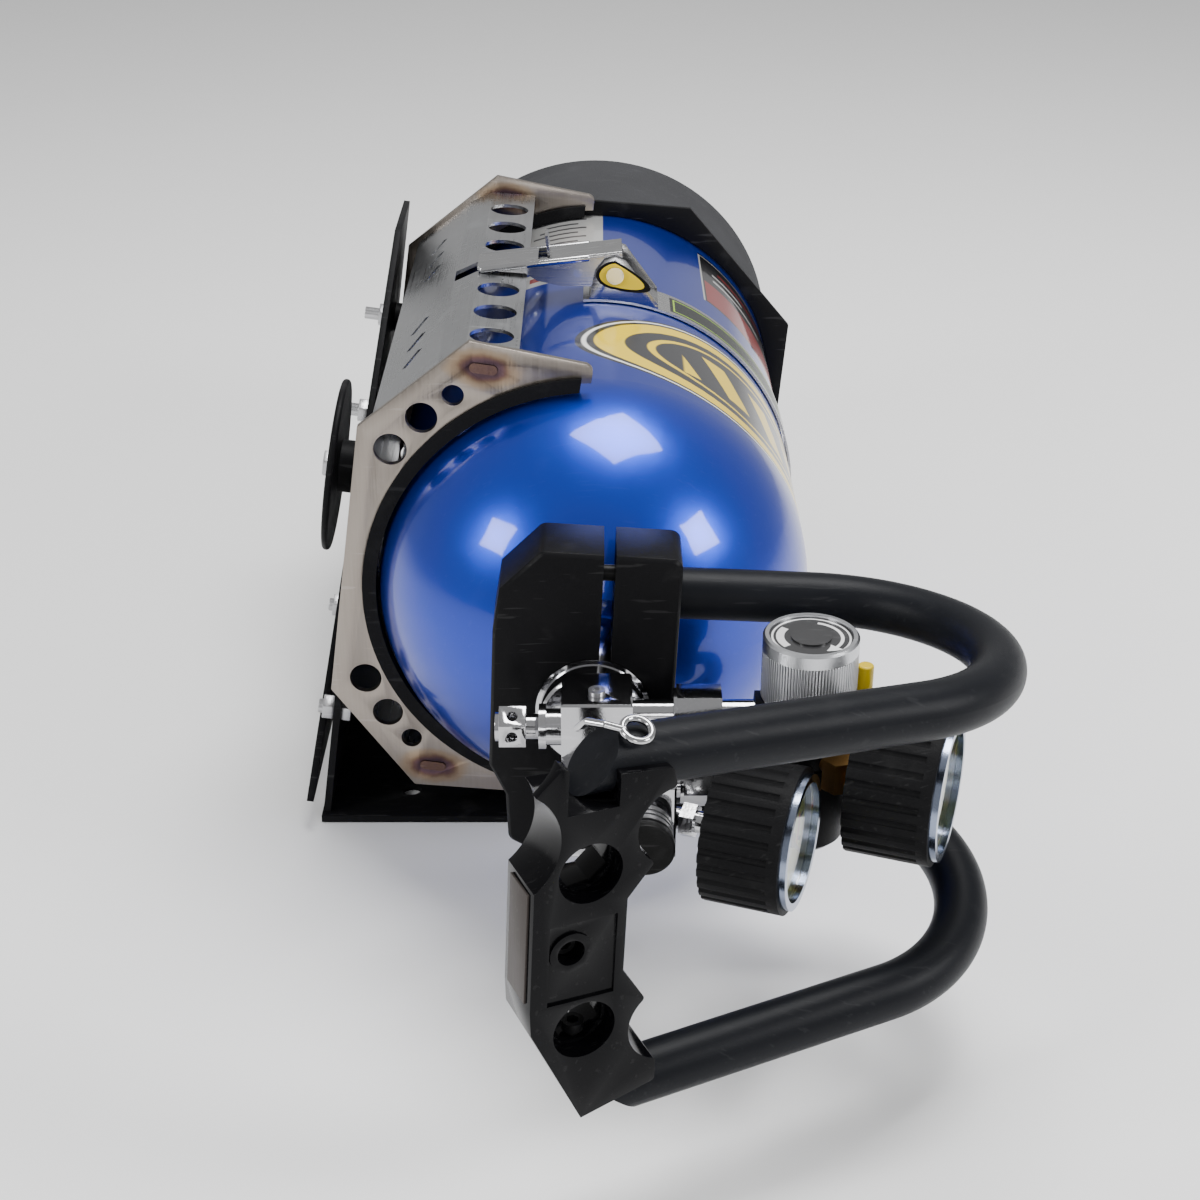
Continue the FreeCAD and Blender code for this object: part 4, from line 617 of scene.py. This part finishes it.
def dress(obj: bpy.types.Object, material: bpy.types.Material) -> None:
    """Give an object one material."""
    obj.data.materials.clear()
    obj.data.materials.append(material)


@dataclass
class SharpCopies:
    """Copies of machined and folded pieces, merged and given small edge breaks."""

    frame: dict
    breaks: dict[str, float] = field(default_factory=lambda: {
        "grip_block": 0.9, "neck_clamp_block": 0.7, "valve_body": 0.45, "latch_base": 0.3,
        "front_cradle_plate": 0.35, "rear_cradle_plate": 0.35, "back_plate": 0.4,
        "base_tray": 0.5, "disc_plate": 0.4, "rear_ring_plate": 0.4, "regulator_body": 0.4,
        "coupling_nuts": 0.4, "relief_plug": 0.35, "tank_gauge_boot": 0.35,
        "line_gauge_boot": 0.35, "base_boot": 0.4, "grip_side_plate": 0.2,
        "side_bolts": 0.3, "dust_cap": 0.3})

    def build(self) -> dict[str, bpy.types.Object]:
        """Make every copy.

        Returns:
            The copies by the name of the node each stands for.
        """
        made = {}
        for name, size in self.breaks.items():
            made[name] = self._copy(name, size)
            log.info("edge-broken %s", name)
        return made

    def _copy(self, name: str, size: float) -> bpy.types.Object:
        """Merge one node's copy and break its sharp edges by size mm."""
        node = self.frame["nodes"][name]
        body = node["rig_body"]
        pick(node)
        bpy.ops.object.duplicate()
        obj = bpy.context.object
        obj.parent = None
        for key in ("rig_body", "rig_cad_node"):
            if key in obj:
                del obj[key]
        obj.name = name + "_finished"
        pick(obj)
        bpy.ops.object.mode_set(mode="EDIT")
        bpy.ops.mesh.select_all(action="SELECT")
        bpy.ops.mesh.remove_doubles(threshold=0.000002)
        bpy.ops.mesh.customdata_custom_splitnormals_clear()
        bpy.ops.mesh.dissolve_limited(angle_limit=math.radians(0.5))
        bpy.ops.object.mode_set(mode="OBJECT")
        bevel = obj.modifiers.new("edge_break", "BEVEL")
        bevel.width = size * MM
        bevel.segments = 2
        bevel.limit_method = "ANGLE"
        bevel.angle_limit = math.radians(32)
        bevel.harden_normals = False
        bpy.ops.object.modifier_apply(modifier=bevel.name)
        bpy.ops.object.shade_smooth_by_angle(angle=math.radians(34))
        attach(obj, body)
        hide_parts(name)
        return obj


@dataclass
class LatchTrim:
    """Rolled lips and badge plates on the over-centre latch."""

    lip_radius: float = 1.5
    lip_length: float = 48.0
    slope: float = LEVER_SLOPE

    def lever_point(self, x: float, y: float, z: float) -> Vector:
        """Point in the shut lever's own frame, in row-frame metres."""
        a = math.radians(self.slope)
        px, py, pz = LATCH_PIVOT
        return row(px + x * math.cos(a) - z * math.sin(a), py + y,
                   pz + x * math.sin(a) + z * math.cos(a))

    def lip(self, side: int) -> bpy.types.Object:
        """Round lip rolled along one lower edge of the lever's top.

        Args:
            side: -1 for the valve-end edge, 1 for the other.

        Returns:
            The lip as a mesh object.
        """
        clear_selection()
        middle = self.lever_point(-34, side * 10.0, 8.2)
        bpy.ops.mesh.primitive_cylinder_add(vertices=20, radius=self.lip_radius * MM,
                                            depth=self.lip_length * MM, location=middle,
                                            rotation=(0, math.radians(90 - self.slope), 0))
        obj = bpy.context.object
        obj.name = "lever_lip_near" if side < 0 else "lever_lip_far"
        bpy.ops.object.transform_apply(location=True, rotation=True, scale=True)
        bevel = obj.modifiers.new("round", "BEVEL")
        bevel.width = 0.7 * MM
        bevel.segments = 3
        bevel.angle_limit = math.radians(50)
        bpy.ops.object.modifier_apply(modifier=bevel.name)
        bpy.ops.object.shade_smooth_by_angle(angle=math.radians(40))
        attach(obj, "latch_arm")
        return obj

    def ear_badge(self, name: str, scale: float, stand: float) -> bpy.types.Object:
        """Thin teardrop plate on the valve-end ear, round the rivet.

        Args:
            name: name of the new piece.
            scale: size against the printed teardrop.
            stand: how far its middle stands off the ear, in mm.

        Returns:
            The plate as a mesh object.
        """
        clear_selection()
        bpy.ops.mesh.primitive_cylinder_add(vertices=40, radius=1.0, depth=1.0,
                                            location=(0, 0, 0), rotation=(math.pi / 2, 0, 0))
        obj = bpy.context.object
        obj.name = name
        bpy.ops.object.transform_apply(location=True, rotation=True, scale=True)
        for v in obj.data.vertices:
            swell = 1.0 + (1.35 if v.co.x > 0 else 0.25) * abs(v.co.x) ** 1.4
            v.co.x *= 5.4 * scale * swell
            v.co.z = v.co.z * 5.2 * scale - max(0.0, v.co.x) * 0.40
            v.co.y *= 0.24
            v.co *= MM
            v.co += row(LATCH_PIVOT[0], EAR_FACE_Y - stand, LATCH_PIVOT[2])
        bevel = obj.modifiers.new("round", "BEVEL")
        bevel.width = 0.08 * MM
        bevel.angle_limit = math.radians(60)
        bpy.ops.object.modifier_apply(modifier=bevel.name)
        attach(obj, "cradle")
        return obj


@dataclass
class Studio:
    """Pale floor, soft lights and the fixed camera."""

    lens: float = 60.0
    pitch: float = 62.91

    def build(self, paint: Paintwork) -> None:
        """Set the stage, the lights and the camera."""
        clear_selection()
        bpy.ops.mesh.primitive_plane_add(size=8.0, location=(0, 0, -0.0005))
        floor = bpy.context.object
        floor.name = "studio_floor"
        dress(floor, paint.plain(Finish("studio_white", (0.90, 0.90, 0.90), (0.92, 0.92, 0.92),
                                        0.0, 0.9, 0.02, 40.0, 0.0, 0.0, Look.SPECKLE, 0.0)))
        world = bpy.data.worlds.new("studio")
        world.use_nodes = True
        world.node_tree.nodes["Background"].inputs[0].default_value = (1.0, 1.0, 1.0, 1.0)
        world.node_tree.nodes["Background"].inputs[1].default_value = 0.5
        bpy.context.scene.world = world
        self._light("overhead", (0.25, 0.15, 1.5), 0.7, 26.0)
        self._light("window_left", (-1.3, -0.9, 1.0), 0.45, 13.0)
        self._light("window_right", (1.3, -0.7, 0.9), 0.45, 15.0)
        self._light("front_low", (0.1, -1.7, 0.5), 0.4, 3.0)
        clear_selection()
        bpy.ops.object.camera_add(location=row(*CAMERA),
                                  rotation=(math.radians(self.pitch), 0, 0))
        camera = bpy.context.object
        camera.data.lens = self.lens
        camera.data.sensor_width = 36.0
        camera.data.clip_start = 0.01
        bpy.context.scene.camera = camera

    @staticmethod
    def _light(name: str, at: tuple[float, float, float], size: float, watts: float) -> None:
        """Square soft light aimed at the pack."""
        clear_selection()
        bpy.ops.object.light_add(type="AREA", location=at)
        lamp = bpy.context.object
        lamp.name = name
        lamp.data.size = size
        lamp.data.energy = watts
        aim = Vector((0.02, -0.05, 0.12)) - Vector(at)
        lamp.rotation_euler = aim.to_track_quat("-Z", "Y").to_euler()


class AirPack:
    """Dresses the frame's nodes and adds the finer pieces."""

    GAUGE_YAW = math.radians(20)

    def __init__(self, frame: dict, paint: Paintwork) -> None:
        """Keep the frame and the paint shelf."""
        self.frame = frame
        self.paint = paint

    def materials(self) -> None:
        """Fill the shelf with every finish."""
        for finish in FINISHES:
            self.paint.plain(finish)
        self.paint.cylinder()
        self.paint.plate()
        self.paint.knob()
        self.paint.knob_label()
        self.paint.band_label()
        self.paint.lens()
        across = Vector((math.sin(self.GAUGE_YAW), math.cos(self.GAUGE_YAW), 0.0))
        self.paint.dial("tank_dial_face", row(*TANK_DIAL), across, TANK_DIAL_R)
        self.paint.dial("line_dial_face", row(*LINE_DIAL), across, LINE_DIAL_R)

    def dress_nodes(self, copies: dict[str, bpy.types.Object]) -> None:
        """Give every node, and the copy that stands for it, its finish."""
        slots = {s["node"]: s["material_slot"] for s in self.frame["record"]["subparts"]}
        special = {"clamp_band": "band_steel", "tank_gauge_dial": "tank_dial_face",
                   "line_gauge_dial": "line_dial_face"}
        for name, node in self.frame["nodes"].items():
            material = self.paint.shelf[special.get(name, slots[name])]
            dress(node, material)
            if name in copies:
                dress(copies[name], material)
            log.info("dressed %s in %s", name, material.name)

    def details(self) -> None:
        """Add the latch's small pieces."""
        trim = LatchTrim()
        for side in (-1, 1):
            dress(trim.lip(side), self.paint.shelf["chrome_parts"])
        dress(trim.ear_badge("ear_badge_ground", 1.22, 0.12), self.paint.shelf["black_plastic"])
        dress(trim.ear_badge("ear_badge", 1.0, 0.32), self.paint.shelf["yellow_plastic"])


def main() -> None:
    """Build the whole scene in order."""
    logging.basicConfig(level=logging.INFO)
    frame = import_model()
    paint = Paintwork()
    pack = AirPack(frame, paint)
    pack.materials()
    copies = SharpCopies(frame).build()
    pack.dress_nodes(copies)
    pack.details()
    Studio().build(paint)


if __name__ == "__main__":
    main()
